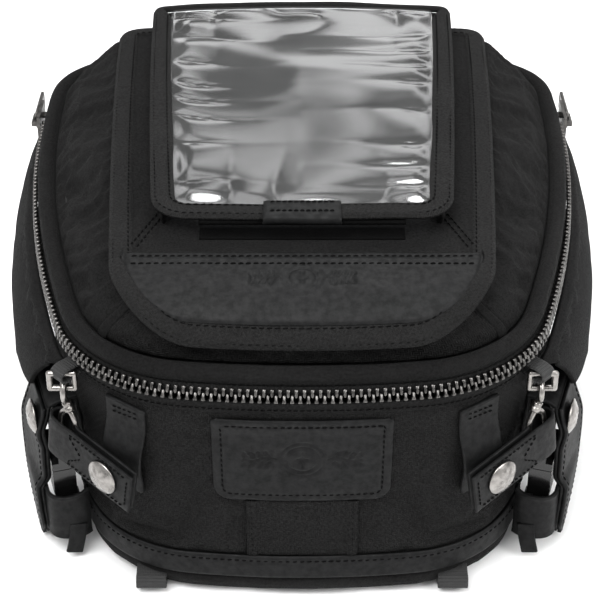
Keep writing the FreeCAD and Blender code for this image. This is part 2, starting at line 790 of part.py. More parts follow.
def d_ring_webbing():
    """Short webbing from the wall, folded round the ring's upper bar."""
    crook = hook_crook()
    y = crook.y - BAR_SHIFT
    top = D_RING_Z + D_RING_H
    left = crook.x + RING_WEBBING_SIDES[0]
    right = crook.x + RING_WEBBING_SIDES[1]
    outer_r = WIRE_R + RING_WEBBING_T
    fold = rod(V(left, y, top), V(right, y, top), outer_r)
    reach = extruded([
        V(left, y, top), V(right, y, top),
        V(right + WEBBING_REACH, y + WEBBING_REACH, top), V(left + WEBBING_REACH, y + WEBBING_REACH, top),
    ], V(0, 0, outer_r))
    hole = rod(V(crook.x - 20, y, top), V(crook.x + 20, y, top), WIRE_R + 0.2)
    webbing = fold.fuse(reach).cut(hole)
    return webbing.cut(loft([(60, 0.3), (200, 0.3)]))


def side_strap():
    """Two-layer leather cover strap that hangs in front of the buckle."""
    y0, y1 = SIDE_STRAP_Y
    out = SIDE_STRAP_OUT
    inset = SIDE_STRAP_POINT[0]
    shoulder = SIDE_STRAP_END + SIDE_STRAP_POINT[1]
    points = [
        V(out, y0, SIDE_STRAP_TOP), V(out, y1, SIDE_STRAP_TOP), V(out, y1, shoulder),
        V(out, y1 - inset, SIDE_STRAP_END), V(out, y0 + inset, SIDE_STRAP_END), V(out, y0, shoulder),
    ]
    return at_corner(extruded(points, V(SIDE_STRAP_T, 0, 0)))


def side_hanger():
    """Leather arm under the wing that the side strap hangs from."""
    end = SIDE_STRAP_OUT - 0.1
    top = SIDE_STRAP_TOP - 0.2
    section = [
        (BINDING_CLEAR, top + 2), (BINDING_CLEAR, top + 2 - HANGER_T), (end - 3, top - HANGER_T),
        (end, top - HANGER_T), (end, top), (end - 3, top),
    ]
    return along_corner(section, *SIDE_STRAP_Y)


def side_concho():
    out = SIDE_STRAP_OUT + SIDE_STRAP_T + 0.02
    foot = V(out, SIDE_STRAP_Y[1] - SIDE_CONCHO_INSET, SIDE_STRAP_TOP - SIDE_CONCHO_DROP)
    cap = placed(concho(), foot, V(0, 1, 0), V(1, 0, 0))
    return at_corner(Part.makeCompound([cap])).Solids[0]


def anchor_ear():
    """Leather ear that wraps from the wall round the buckle's lower half, with a narrow tail."""
    t = EAR_T
    low, high = EAR_Z
    face = EAR_OUT
    outer = [V(x, y, low) for x, y in EAR_BEND] + [V(face, EAR_FACE_Y, low), V(face, EAR_END_Y, low)]
    inner = [V(face - t, EAR_END_Y, low), V(face - t, EAR_FACE_Y - EAR_BEVEL, low)]
    inner += [V(x, y - t, low) for x, y in reversed(EAR_BEND)]
    wrap = extruded(outer + inner, V(0, 0, high - low))
    tail = box(*EAR_TAIL_OUT, *EAR_TAIL_Y, EAR_TAIL_Z, low + EAR_TAIL_W)
    root = box(*EAR_TAIL_OUT, EAR_TAIL_Y[0] - t, EAR_TAIL_Y[0] + t / 4, low + 1, low + EAR_TAIL_W)
    return at_corner(wrap.fuse([tail, root]).removeSplitter())


def ear_stud():
    """Snap stud between the ear and the side strap."""
    foot = V(EAR_OUT + 0.1, EAR_STUD_Y, EAR_STUD_Z)
    return at_corner(Part.makeCylinder(STUD_R, SIDE_STRAP_OUT - EAR_OUT - 0.3, foot, V(1, 0, 0)))


def at_buckle(shape):
    moved = shape.copy()
    moved.translate(V(BUCKLE_OUT, BUCKLE_Y, 0))
    return at_corner(Part.makeCompound([moved])).Solids[0]


def buckle_frame(rail_low, rail_high, bar_z):
    """Two side rails and the round bar that the webbing loops over."""
    w = BUCKLE_HALF_W
    rail = box(-BUCKLE_RAIL_HALF_T, BUCKLE_RAIL_HALF_T, -w, -w + BUCKLE_RAIL, rail_low, rail_high)
    other = box(-BUCKLE_RAIL_HALF_T, BUCKLE_RAIL_HALF_T, w - BUCKLE_RAIL, w, rail_low, rail_high)
    return rail.fuse([other, rod(V(0, 1 - w, bar_z), V(0, w - 1, bar_z), BUCKLE_BAR_R)])


def buckle_socket():
    """Lower half of the side-release buckle: hollow body, side rails and strap bar."""
    w = BUCKLE_HALF_W
    t = BUCKLE_HALF_T
    wall = BUCKLE_WALL
    body = box(-t, t, -w, w, BUCKLE_LOW, BUCKLE_SPLIT_Z)
    cavity = box(wall - t, t - wall, wall - w, w - wall, BUCKLE_LOW + wall, BUCKLE_SPLIT_Z + 1)
    frame = buckle_frame(BUCKLE_BAR_Z - 2, BUCKLE_LOW + 0.5, BUCKLE_BAR_Z)
    return at_buckle(body.cut(cavity).fuse(frame).removeSplitter())


def buckle_plug():
    """Upper half of the buckle: body, strap bar, two prongs and a guide tongue between them."""
    w = BUCKLE_HALF_W
    t = BUCKLE_HALF_T
    lip_low = BUCKLE_SPLIT_Z + 0.4
    body = box(-t, t, -w, w, lip_low, lip_low + BUCKLE_LIP)
    frame = buckle_frame(lip_low + 1, BUCKLE_TOP, BUCKLE_TOP - 2)
    reach = w - BUCKLE_WALL - PRONG_GAP - PRONG_HALF_W
    prong_low = BUCKLE_SPLIT_Z - PRONG_REACH
    prong = box(-PRONG_HALF_T, PRONG_HALF_T, -PRONG_HALF_W, PRONG_HALF_W, prong_low, lip_low + 1)
    prongs = [prong.translated(V(0, y, 0)) for y in (-reach, 0, reach)]
    return at_buckle(body.fuse([frame] + prongs).removeSplitter())


def webbing_band(section):
    return along_corner(section, BUCKLE_Y - WEBBING_HALF_W, BUCKLE_Y + WEBBING_HALF_W)


def upper_webbing():
    """Webbing from the wall under the wing down to the buckle's upper half."""
    x0 = BUCKLE_OUT - WEBBING_T / 2
    x1 = BUCKLE_OUT + WEBBING_T / 2
    z0 = UPPER_WEBBING_Z - WEBBING_T
    z1 = UPPER_WEBBING_Z
    low = BUCKLE_TOP + 0.2
    return webbing_band([(BINDING_CLEAR, z1), (BINDING_CLEAR, z0), (x0, z0), (x0, low), (x1, low), (x1, z1)])


def lower_webbing():
    """Webbing from the buckle's lower half back to the base seam."""
    x0 = BUCKLE_OUT - WEBBING_T / 2
    x1 = BUCKLE_OUT + WEBBING_T / 2
    z0 = LOWER_WEBBING_Z
    z1 = LOWER_WEBBING_Z + WEBBING_T
    high = BUCKLE_BAR_Z - BUCKLE_BAR_R - 0.3
    return webbing_band([(WALL_CLEAR, z1), (WALL_CLEAR, z0), (x1, z0), (x1, high), (x0, high), (x0, z1)])


def on_side(shape):
    """Place a shape on the left side of the zip: X along it to the far end, Y outwards."""
    slope = (SLIDER_Y - WIDEST_Y) / SIDE_R
    outward = V(-math.sqrt(1 - slope * slope), slope, 0)
    along = outward.cross(UP)
    origin = V(-ZIP_PLAN.side_x(SLIDER_Y), SLIDER_Y, ZIP_Z)
    moved = shape.copy()
    moved.Placement = FreeCAD.Placement(origin, FreeCAD.Rotation(along, outward, UP, "ZXY"))
    return moved


def slider():
    """Zip slider: two plates, the bridge between them and the bail for the pull."""
    half_l = SLIDER_L / 2
    half_h = SLIDER_H / 2
    plates = [box(-half_l, half_l, y0, y1, -half_h, half_h) for y0, y1 in (SLIDER_OUTER, SLIDER_INNER)]
    bridge = box(*BRIDGE_X, SLIDER_INNER[0] + 0.5, SLIDER_OUTER[1] - 0.5, -BRIDGE_HALF_H, BRIDGE_HALF_H)
    bail_y = SLIDER_OUTER[1]
    bail = box(-BAIL_HALF_L, BAIL_HALF_L, bail_y - 0.2, bail_y + BAIL_H, -BAIL_HALF_T, BAIL_HALF_T)
    opening = BAIL_HALF_L - BAIL_WIRE
    bail = bail.cut(box(-opening, opening, bail_y, bail_y + BAIL_H - BAIL_HALF_T, -BAIL_H, BAIL_H))
    return on_side(plates[0].fuse([plates[1], bridge, bail]).removeSplitter())


def slider_pull():
    """Pull of round wire with a flat end, hung in the slider's bail."""
    y = SLIDER_OUTER[1] + PULL_OFFSET
    w = PULL_HALF_W
    loop = wire_loop([V(0, y, -w), V(PULL_L, y, -w), V(PULL_L, y, w), V(0, y, w)], PULL_WIRE_R)
    plate = box(PULL_PLATE_X, PULL_L, y - PULL_PLATE_HALF_T, y + PULL_PLATE_HALF_T, -w, w)
    return on_side(loop.fuse(plate).removeSplitter())


def export(shape, name):
    solids = shape.Solids
    keep = solids[0] if len(solids) == 1 else Part.makeCompound(solids)
    keep.exportStep("parts/" + name + ".step")
    print(name, len(solids), round(shape.Volume), shape.isValid())


def main():
    os.makedirs("parts", exist_ok=True)
    parts = {}
    parts.update(body_panels())
    parts.update(base_parts())
    parts["body_lining"] = body_lining()
    parts["leather_band"] = leather_band()
    parts["rider_patch"] = rider_patch()
    parts["centre_sleeve"] = centre_sleeve()
    parts["corner_bindings"] = corner_bindings()
    parts["body_zip_tape"] = body_tape()
    parts["body_zip_teeth"] = body_teeth()
    parts["lid_hinge_strip"] = hinge_strip()
    parts.update(lid_walls())
    parts["pocket_floor"] = pocket_floor()
    parts["lid_zip_tape"] = lid_tape()
    parts["lid_zip_teeth"] = lid_teeth()
    parts["lid_rim"] = lid_rim()
    parts.update(flap_parts())
    parts.update(window_parts())
    parts.update(window_closures())
    parts.update(closure_strips())
    parts["wing_left"] = wing()
    parts["wing_right"] = mirrored(wing())
    parts["keeper_loops"] = both(keeper())
    parts["d_rings"] = both(d_ring())
    parts["sewn_webbing"] = Part.makeCompound([both(d_ring_webbing()), both(lower_webbing())])
    parts["side_hangers"] = both(side_hanger())
    parts["anchor_ears"] = both(anchor_ear())
    parts["snap_studs"] = Part.makeCompound([both(tether_stud()), both(ear_stud())])
    parts["buckle_sockets"] = both(buckle_socket())
    parts["mount_straps"] = mount_straps()
    sided = {
        "tether_strap": tether_strap(),
        "tether_concho": tether_concho(),
        "snap_hook": snap_hook(),
        "hook_gate": hook_gate(),
        "side_strap": side_strap(),
        "side_concho": side_concho(),
        "buckle_plug": buckle_plug(),
        "buckle_upper_webbing": upper_webbing(),
        "zip_slider": slider(),
        "slider_pull": slider_pull(),
    }
    for name, shape in sided.items():
        parts[name + "_left"] = shape
        parts[name + "_right"] = mirrored(shape)
    for name, shape in parts.items():
        export(shape, name)


main()
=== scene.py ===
import json
import math

import bmesh
import bpy
import numpy as np
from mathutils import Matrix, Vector, noise

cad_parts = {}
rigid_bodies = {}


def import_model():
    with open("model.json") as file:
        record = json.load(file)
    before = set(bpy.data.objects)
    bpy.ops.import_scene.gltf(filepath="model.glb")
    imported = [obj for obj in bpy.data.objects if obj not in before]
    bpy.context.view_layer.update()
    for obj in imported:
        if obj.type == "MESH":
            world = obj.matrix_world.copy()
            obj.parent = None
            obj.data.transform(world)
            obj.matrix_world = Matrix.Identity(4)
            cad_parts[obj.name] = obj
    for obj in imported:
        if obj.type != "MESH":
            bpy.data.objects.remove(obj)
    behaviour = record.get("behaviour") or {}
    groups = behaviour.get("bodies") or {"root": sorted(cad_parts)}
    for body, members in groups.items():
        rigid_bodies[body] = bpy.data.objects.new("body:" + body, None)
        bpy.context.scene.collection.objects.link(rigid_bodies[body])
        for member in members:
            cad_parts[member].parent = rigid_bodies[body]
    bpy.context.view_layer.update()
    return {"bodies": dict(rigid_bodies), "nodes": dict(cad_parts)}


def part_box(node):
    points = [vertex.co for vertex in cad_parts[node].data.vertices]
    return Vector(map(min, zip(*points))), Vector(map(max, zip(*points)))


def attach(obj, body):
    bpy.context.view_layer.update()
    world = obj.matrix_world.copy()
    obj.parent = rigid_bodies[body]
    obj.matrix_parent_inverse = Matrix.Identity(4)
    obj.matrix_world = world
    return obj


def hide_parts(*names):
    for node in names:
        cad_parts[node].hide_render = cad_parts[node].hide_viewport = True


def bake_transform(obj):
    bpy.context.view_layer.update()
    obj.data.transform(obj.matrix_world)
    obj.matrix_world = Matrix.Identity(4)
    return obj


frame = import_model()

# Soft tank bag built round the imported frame. Shapes are worked out in millimetres and turned into metres
# when a mesh is made. Axes are the frame's: +Z up, +Y away from the rider, +X to the rider's right.

MM = 0.001
SIDES = (("left", -1), ("right", 1))


def box_mm(node):
    low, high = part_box(node)
    return np.array(low) / MM, np.array(high) / MM


# ------------------------------------------------------------------ driving sizes

TEETH_LOW, TEETH_HIGH = box_mm("body_zip_teeth")
LID_TEETH_LOW = box_mm("lid_zip_teeth")[0]
HINGE_HIGH = box_mm("lid_hinge_strip")[1]
WALL_LOW, WALL_HIGH = box_mm("rider_panel")
BAND_HIGH = box_mm("leather_band")[1]
PATCH_LOW, PATCH_HIGH = box_mm("rider_patch")
SLEEVE_LOW, SLEEVE_HIGH = box_mm("centre_sleeve")
FLAP_HIGH = box_mm("flap_binding")[1]
WINDOW_LOW, WINDOW_HIGH = box_mm("window_binding")
NEAR_SEAM_Y = WALL_HIGH[1]
FAR_SEAM_Y = box_mm("far_panel")[0][1]
ZIP_END_Y = TEETH_HIGH[1]
ZIP_Z = (TEETH_HIGH[2] + LID_TEETH_LOW[2]) / 2
TOOTH_PITCH = 3.4
WALL_TOP = WALL_HIGH[2]
BASE_TOP = WALL_LOW[2]
LID_Z = ZIP_Z + 7.0

SHELL_T = 2.5
BINDING_W = 11.0
LEATHER_T = 1.8
THREAD_R = 0.34
STITCH_PITCH = 3.3
STITCH_LENGTH = 2.3
# Rings of one stitch: place along it in lengths, height in thread radii, thickness in thread radii.
STITCH_RINGS = ((-0.5, -0.6, 0.55), (-0.3, 0.25, 1.0), (0.0, 0.55, 1.05), (0.3, 0.25, 1.0), (0.5, -0.6, 0.55))


# ------------------------------------------------------------------ small geometry helpers

def unit(v):
    return v / np.maximum(np.linalg.norm(v, axis=-1, keepdims=True), 1e-9)


def smooth(x):
    x = np.clip(x, 0.0, 1.0)
    return x * x * (3 - 2 * x)


def wobble(points, scale, seed=0.0):
    """Smooth noise between about -1 and 1 at each point; scale is the size of its waves in millimetres."""
    flat = points.reshape(-1, 3) / scale + seed
    values = [noise.noise(Vector(p)) for p in flat]
    return np.array(values).reshape(points.shape[:-1])


def grid_normals(grid, flip=False):
    across = np.gradient(grid, axis=0)
    along = np.gradient(grid, axis=1)
    normals = unit(np.cross(across, along))
    return -normals if flip else normals


def resample(path, step, normals=None):
    """Points at equal steps along a path, with the path's normals if given."""
    lengths = np.concatenate([[0], np.cumsum(np.linalg.norm(np.diff(path, axis=0), axis=1))])
    count = max(int(round(lengths[-1] / step)), 1)
    at = np.linspace(0, lengths[-1], count + 1)
    points = np.stack([np.interp(at, lengths, path[:, i]) for i in range(3)], axis=1)
    if normals is None:
        return points
    turned = np.stack([np.interp(at, lengths, normals[:, i]) for i in range(3)], axis=1)
    return points, unit(turned)


def bezier(points, count):
    """Smooth curve that passes through the points, with count samples."""
    points = np.array(points, float)
    n = len(points)
    at = np.linspace(0, n - 1, count)
    k = np.clip(np.floor(at).astype(int), 0, n - 2)
    t = (at - k)[:, None]
    p0 = points[np.maximum(k - 1, 0)]
    p1 = points[k]
    p2 = points[k + 1]
    p3 = points[np.minimum(k + 2, n - 1)]
    return 0.5 * (2 * p1 + (p2 - p0) * t + (2 * p0 - 5 * p1 + 4 * p2 - p3) * t ** 2
                  + (3 * p1 - p0 - 3 * p2 + p3) * t ** 3)


# ------------------------------------------------------------------ making meshes

def make_mesh(name, verts, faces, material, uvs=None, flat=False):
    """Mesh object from points in millimetres. uvs holds one pair per vertex, in millimetres."""
    mesh = bpy.data.meshes.new(name)
    mesh.from_pydata([tuple(v) for v in np.asarray(verts) * MM], [], faces)
    if uvs is not None:
        layer = mesh.uv_layers.new(name="UVMap")
        loops = np.zeros(len(mesh.loops), np.int32)
        mesh.loops.foreach_get("vertex_index", loops)
        layer.data.foreach_set("uv", np.asarray(uvs, np.float32)[loops].ravel())
    mesh.polygons.foreach_set("use_smooth", [not flat] * len(mesh.polygons))
    mesh.validate()
    mesh.materials.append(material)
    piece = bpy.data.objects.new(name, mesh)
    bpy.context.scene.collection.objects.link(piece)
    return piece


def grid_uvs(grid):
    """Distances along both directions of a grid, in millimetres."""
    mid = grid.shape[1] // 2
    row = grid.shape[0] // 2
    across = np.concatenate([[0], np.cumsum(np.linalg.norm(np.diff(grid[:, mid], axis=0), axis=1))])
    along = np.concatenate([[0], np.cumsum(np.linalg.norm(np.diff(grid[row], axis=0), axis=1))])
    return np.stack(np.meshgrid(across, along, indexing="ij"), axis=-1)


def slab(name, grid, thickness, material, flip=False, closed=False, uvs=None):
    """Closed sheet whose outer face is the grid and whose thickness goes inwards."""
    if closed:
        wrapped = np.concatenate([grid[-1:], grid, grid[:1]])
        normals = grid_normals(wrapped, flip)[1:-1]
    else:
        normals = grid_normals(grid, flip)
    nu, nv = grid.shape[:2]
    depth = np.asarray(thickness)
    inner = grid - normals * depth.reshape(depth.shape + (1,) * (grid.ndim - depth.ndim))
    verts = np.concatenate([grid.reshape(-1, 3), inner.reshape(-1, 3)])
    uv = grid_uvs(grid) if uvs is None else uvs
    uv = np.concatenate([uv.reshape(-1, 2), uv.reshape(-1, 2)])
    half = nu * nv

    def index(i, j, layer):
        return (i % nu) * nv + j + layer * half

    faces = []
    for i in range(nu if closed else nu - 1):
        for j in range(nv - 1):
            top = (index(i, j, 0), index(i + 1, j, 0), index(i + 1, j + 1, 0), index(i, j + 1, 0))
            low = tuple(v + half for v in reversed(top))
            faces += [top, low]
        faces.append((index(i, 0, 0), index(i, 0, 1), index(i + 1, 0, 1), index(i + 1, 0, 0)))
        last = nv - 1
        faces.append((index(i, last, 0), index(i + 1, last, 0), index(i + 1, last, 1), index(i, last, 1)))
    if not closed:
        for j in range(nv - 1):
            faces.append((index(0, j, 0), index(0, j + 1, 0), index(0, j + 1, 1), index(0, j, 1)))
            end = nu - 1
            faces.append((index(end, j, 0), index(end, j, 1), index(end, j + 1, 1), index(end, j + 1, 0)))
    if flip:
        faces = [tuple(reversed(f)) for f in faces]
    return make_mesh(name, verts, faces, material, uv)


def sweep(name, path, normals, section, material, closed=False):
    """Closed section, given as (side, out) pairs, carried along a path."""
    section = np.array(section, float)
    if closed:
        ahead = np.roll(path, -1, axis=0) - np.roll(path, 1, axis=0)
    else:
        ahead = np.gradient(path, axis=0)
    tangent = unit(ahead)
    side = unit(np.cross(tangent, normals))
    out = unit(np.cross(side, tangent))
    rings = path[:, None] + side[:, None] * section[None, :, :1] + out[:, None] * section[None, :, 1:]
    n, m = rings.shape[:2]
    faces = []
    for i in range(n if closed else n - 1):
        for j in range(m):
            a = i * m + j
            b = i * m + (j + 1) % m
            c = ((i + 1) % n) * m + (j + 1) % m
            d = ((i + 1) % n) * m + j
            faces.append((a, b, c, d))
    if not closed:
        faces.append(tuple(reversed(range(m))))
        faces.append(tuple((n - 1) * m + j for j in range(m)))
    around = np.concatenate([[0], np.cumsum(np.linalg.norm(np.diff(section, axis=0), axis=1))])
    length = np.concatenate([[0], np.cumsum(np.linalg.norm(np.diff(path, axis=0), axis=1))])
    uv = np.stack(np.meshgrid(length, around, indexing="ij"), axis=-1).reshape(-1, 2)
    return make_mesh(name, rings.reshape(-1, 3), faces, material, uv)


def round_section(r, sides=10, squash=1.0):
    turn = np.linspace(0, 2 * math.pi, sides, endpoint=False)
    return np.stack([np.cos(turn) * r, np.sin(turn) * r * squash], axis=1)


def strap_section(width, thickness, crown=0.0, edge=None):
    """Flat strap section with rounded edges; its back lies at zero and its face at thickness."""
    half = width / 2
    edge = min(thickness * 0.35, half * 0.4) if edge is None else edge
    across = np.linspace(-half + edge, half - edge, 7)
    face = [(x, thickness + crown * (1 - (x / half) ** 2)) for x in across]
    back = [(x, 0.0) for x in reversed(across)]
    shoulder = edge * 0.3
    right = [(half - shoulder, thickness - shoulder), (half, thickness - edge), (half, edge),
             (half - shoulder, shoulder)]
    left = [(-x, y) for x, y in reversed(right)]
    return face + right + back + left


def join_meshes(name, chunks, material):
    """One mesh from many (verts, faces) chunks."""
    verts = []
    faces = []
    for chunk_verts, chunk_faces in chunks:
        start = len(verts)
        verts.extend(chunk_verts)
        faces.extend(tuple(i + start for i in face) for face in chunk_faces)
    return make_mesh(name, np.array(verts), faces, material)


def thread_chunk(centre, ahead, out, length, r):
    """One stitch: a short thread that dives at both ends."""
    side = np.cross(ahead, out)
    rings = []
    for s, height, size in STITCH_RINGS:
        middle = centre + ahead * s * length + out * height * r
        for k in range(6):
            a = k * math.pi / 3
            rings.append(middle + (side * math.cos(a) + out * math.sin(a)) * r * size)
    faces = [tuple(reversed(range(6))), tuple(range(24, 30))]
    for i in range(4):
        for k in range(6):
            faces.append((i * 6 + k, i * 6 + (k + 1) % 6, (i + 1) * 6 + (k + 1) % 6, (i + 1) * 6 + k))
    return rings, faces


def loose_stitches(name, rows, pitch=STITCH_PITCH, length=STITCH_LENGTH, r=THREAD_R):
    """Rows of stitches, each row a path with its outward directions; the piece isn't on a body yet."""
    chunks = []
    for path, normals in rows:
        points, outs = resample(np.asarray(path), pitch, np.asarray(normals))
        tangents = unit(np.gradient(points, axis=0))
        for point, ahead, out in zip(points[1:-1], tangents[1:-1], outs[1:-1]):
            slant = unit(ahead + np.cross(out, ahead) * 0.10)
            chunks.append(thread_chunk(point, slant, out, length, r))
    return join_meshes(name, chunks, THREAD)


def stitches(name, rows, body, pitch=STITCH_PITCH, length=STITCH_LENGTH, r=THREAD_R):
    """Rows of stitches that ride on a body."""
    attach(loose_stitches(name, rows, pitch, length, r), body)


def finish(piece, body, replaced=()):
    """Put a piece on its body and hide the frame nodes it stands for."""
    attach(piece, body)
    return label(piece, replaced)


def label(piece, replaced=()):
    if replaced:
        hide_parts(*replaced)
    return piece


# ------------------------------------------------------------------ materials

class Nodes:
    """Short way to build a node material."""

    def __init__(self, name):
        self.material = bpy.data.materials.new(name)
        self.material.use_nodes = True
        self.tree = self.material.node_tree
        self.shader = self.tree.nodes["Principled BSDF"]

    def add(self, kind, **values):
        node = self.tree.nodes.new(kind)
        for key, value in values.items():
            if hasattr(node, key):
                setattr(node, key, value)
            else:
                node.inputs[key].default_value = value
        return node

    def link(self, a, b):
        self.tree.links.new(a, b)

    def math(self, operation, a, b=0.0, clamp=False):
        node = self.add("ShaderNodeMath", operation=operation, use_clamp=clamp)
        for socket, value in zip(node.inputs, (a, b)):
            if isinstance(value, (int, float)):
                socket.default_value = value
            else:
                self.link(value, socket)
        return node.outputs[0]

    def noise(self, scale, detail=3.0, rough=0.5, vector=None):
        node = self.add("ShaderNodeTexNoise", Scale=scale, Detail=detail, Roughness=rough)
        self.link(vector or self.coords("Object"), node.inputs["Vector"])
        return node.outputs["Fac"]

    def coords(self, kind):
        return self.add("ShaderNodeTexCoord").outputs[kind]

    def uv(self):
        """Distances along the cloth, in millimetres."""
        parts = self.add("ShaderNodeSeparateXYZ")
        self.link(self.coords("UV"), parts.inputs[0])
        return parts.outputs["X"], parts.outputs["Y"]

    def ramp(self, fac, stops):
        node = self.add("ShaderNodeValToRGB")
        elements = node.color_ramp.elements
        while len(elements) < len(stops):
            elements.new(0.5)
        for element, (at, colour) in zip(elements, stops):
            element.position = at
            element.color = tuple(colour) + (1.0,)
        self.link(fac, node.inputs["Fac"])
        return node.outputs["Color"]

    def span(self, fac, low, high):
        node = self.add("ShaderNodeMapRange")
        node.inputs["To Min"].default_value = low
        node.inputs["To Max"].default_value = high
        self.link(fac, node.inputs["Value"])
        return node.outputs["Result"]

    def stretch(self, fac, low, high):
        """Like span, but with the middle third of the noise spread over the whole range."""
        node = self.add("ShaderNodeMapRange")
        node.inputs["From Min"].default_value = 0.36
        node.inputs["From Max"].default_value = 0.64
        node.inputs["To Min"].default_value = low
        node.inputs["To Max"].default_value = high
        self.link(fac, node.inputs["Value"])
        return node.outputs["Result"]

    def bump(self, height, strength, distance, before=None):
        node = self.add("ShaderNodeBump", Strength=strength, Distance=distance)
        self.link(height, node.inputs["Height"])
        if before is not None:
            self.link(before, node.inputs["Normal"])
        return node.outputs["Normal"]

    def set(self, **values):
        for key, value in values.items():
            name = key.replace("_", " ")
            if isinstance(value, bpy.types.NodeSocket):
                self.link(value, self.shader.inputs[name])
            else:
                self.shader.inputs[name].default_value = value
        return self.material


def grey(value, warm=0.0):
    return (value * (1 + warm), value, value * (1 - warm))


def woven(name, tone, pitch, depth, pattern="plain", rough=0.85, sheen=0.25, painted_weave_shade=0.45):
    """Woven cloth: threads over and under each other. Its colour has painted highlight on the thread tops and
    painted shade in the hollows between them, plus slight random colour variation.
    """
    n = Nodes(name)
    u, v = n.uv()
    warp = n.math("ABSOLUTE", n.math("SINE", n.math("MULTIPLY", u, math.pi / pitch)))
    weft = n.math("ABSOLUTE", n.math("SINE", n.math("MULTIPLY", v, math.pi / pitch)))
    iu = n.math("FLOOR", n.math("DIVIDE", u, pitch))
    iv = n.math("FLOOR", n.math("DIVIDE", v, pitch))
    if pattern == "twill":
        over = n.math("GREATER_THAN", n.math("FLOORED_MODULO", n.math("ADD", iu, iv), 4.0), 1.5)
    elif pattern == "herringbone":
        folded = n.math("PINGPONG", iu, 4.0)
        over = n.math("GREATER_THAN", n.math("FLOORED_MODULO", n.math("ADD", folded, iv), 4.0), 1.5)
    elif pattern == "basket":
        half_u = n.math("FLOOR", n.math("DIVIDE", iu, 2.0))
        half_v = n.math("FLOOR", n.math("DIVIDE", iv, 2.0))
        over = n.math("FLOORED_MODULO", n.math("ADD", half_u, half_v), 2.0)
    else:
        over = n.math("FLOORED_MODULO", n.math("ADD", iu, iv), 2.0)
    top = n.math("MULTIPLY", warp, over)
    under = n.math("MULTIPLY", weft, n.math("SUBTRACT", 1.0, over))
    height = n.math("ADD", top, under)
    patch = n.noise(28.0, 4.0)
    fibre = n.noise(900.0, 2.0)
    # Colour: painted highlight on raised threads and painted shade in the weave's hollows, taken from the thread
    # height; the patch and fibre noise add real random tone.
    light = n.math("ADD", n.math("MULTIPLY", height, painted_weave_shade), n.math("MULTIPLY", patch, 0.5))
    light = n.math("ADD", light, n.stretch(fibre, 0.0, 0.3))
    colour = n.ramp(light, [(0.15, grey(tone * 0.3)), (0.95, grey(tone * 1.9, 0.01))])
    slub = n.noise(1050.0, 2.0)
    normal = n.bump(height, 0.9, depth * MM)
    normal = n.bump(fibre, 0.25, 0.15 * MM, normal)
    normal = n.bump(slub, 0.3, 0.16 * MM, normal)
    return n.set(Base_Color=colour, Roughness=n.span(fibre, rough - 0.08, rough + 0.08), Normal=normal,
                 Sheen_Weight=sheen, Sheen_Roughness=0.45, Specular_IOR_Level=n.stretch(slub, 0.03, 0.13))


def leather(name, tone, rough=0.55):
    """Oiled leather: fine grain, pores, dull patches and rubbed spots."""
    n = Nodes(name)
    where = n.coords("Object")
    grain = n.add("ShaderNodeTexVoronoi", Scale=950.0, feature="DISTANCE_TO_EDGE")
    n.link(where, grain.inputs["Vector"])
    creases = n.noise(160.0, 6.0, 0.62)
    blotch = n.noise(34.0, 4.0)
    fine = n.noise(1500.0, 3.0)
    light = n.math("ADD", n.math("MULTIPLY", blotch, 0.8), n.math("MULTIPLY", fine, 0.3))
    colour = n.ramp(light, [(0.25, grey(tone * 0.55, -0.01)), (0.6, grey(tone, -0.02)),
                            (0.9, grey(tone * 1.9, -0.02))])
    normal = n.bump(grain.outputs["Distance"], 0.35, 0.12 * MM)
    normal = n.bump(creases, 0.50, 0.35 * MM, normal)
    normal = n.bump(fine, 0.2, 0.06 * MM, normal)
    return n.set(Base_Color=colour, Roughness=n.span(blotch, rough - 0.1, rough + 0.16), Normal=normal,
                 Specular_IOR_Level=n.stretch(n.noise(330.0, 5.0, 0.6), 0.08, 0.16))


def metal(name, tone, rough, warm=0.01, worn=0.35):
    """Plated metal with fine scratches and dull spots."""
    n = Nodes(name)
    haze = n.noise(260.0, 5.0)
    scratch = n.noise(1900.0, 2.0)
    colour = n.ramp(haze, [(0.3, grey(tone * (1 - worn), warm)), (0.7, grey(tone, warm))])
    normal = n.bump(scratch, 0.12, 0.05 * MM)
    return n.set(Base_Color=colour, Metallic=1.0, Roughness=n.span(haze, rough, rough + 0.18), Normal=normal)


def plastic(name, tone, rough):
    """Moulded plastic with a faint orange-peel surface."""
    n = Nodes(name)
    peel = n.noise(420.0, 2.0)
    mottled = n.noise(60.0, 3.0)
    colour = n.ramp(mottled, [(0.3, grey(tone * 0.8)), (0.7, grey(tone * 1.3))])
    return n.set(Base_Color=colour, Roughness=n.span(mottled, rough, rough + 0.12),
                 Normal=n.bump(peel, 0.12, 0.1 * MM), Specular_IOR_Level=0.5)


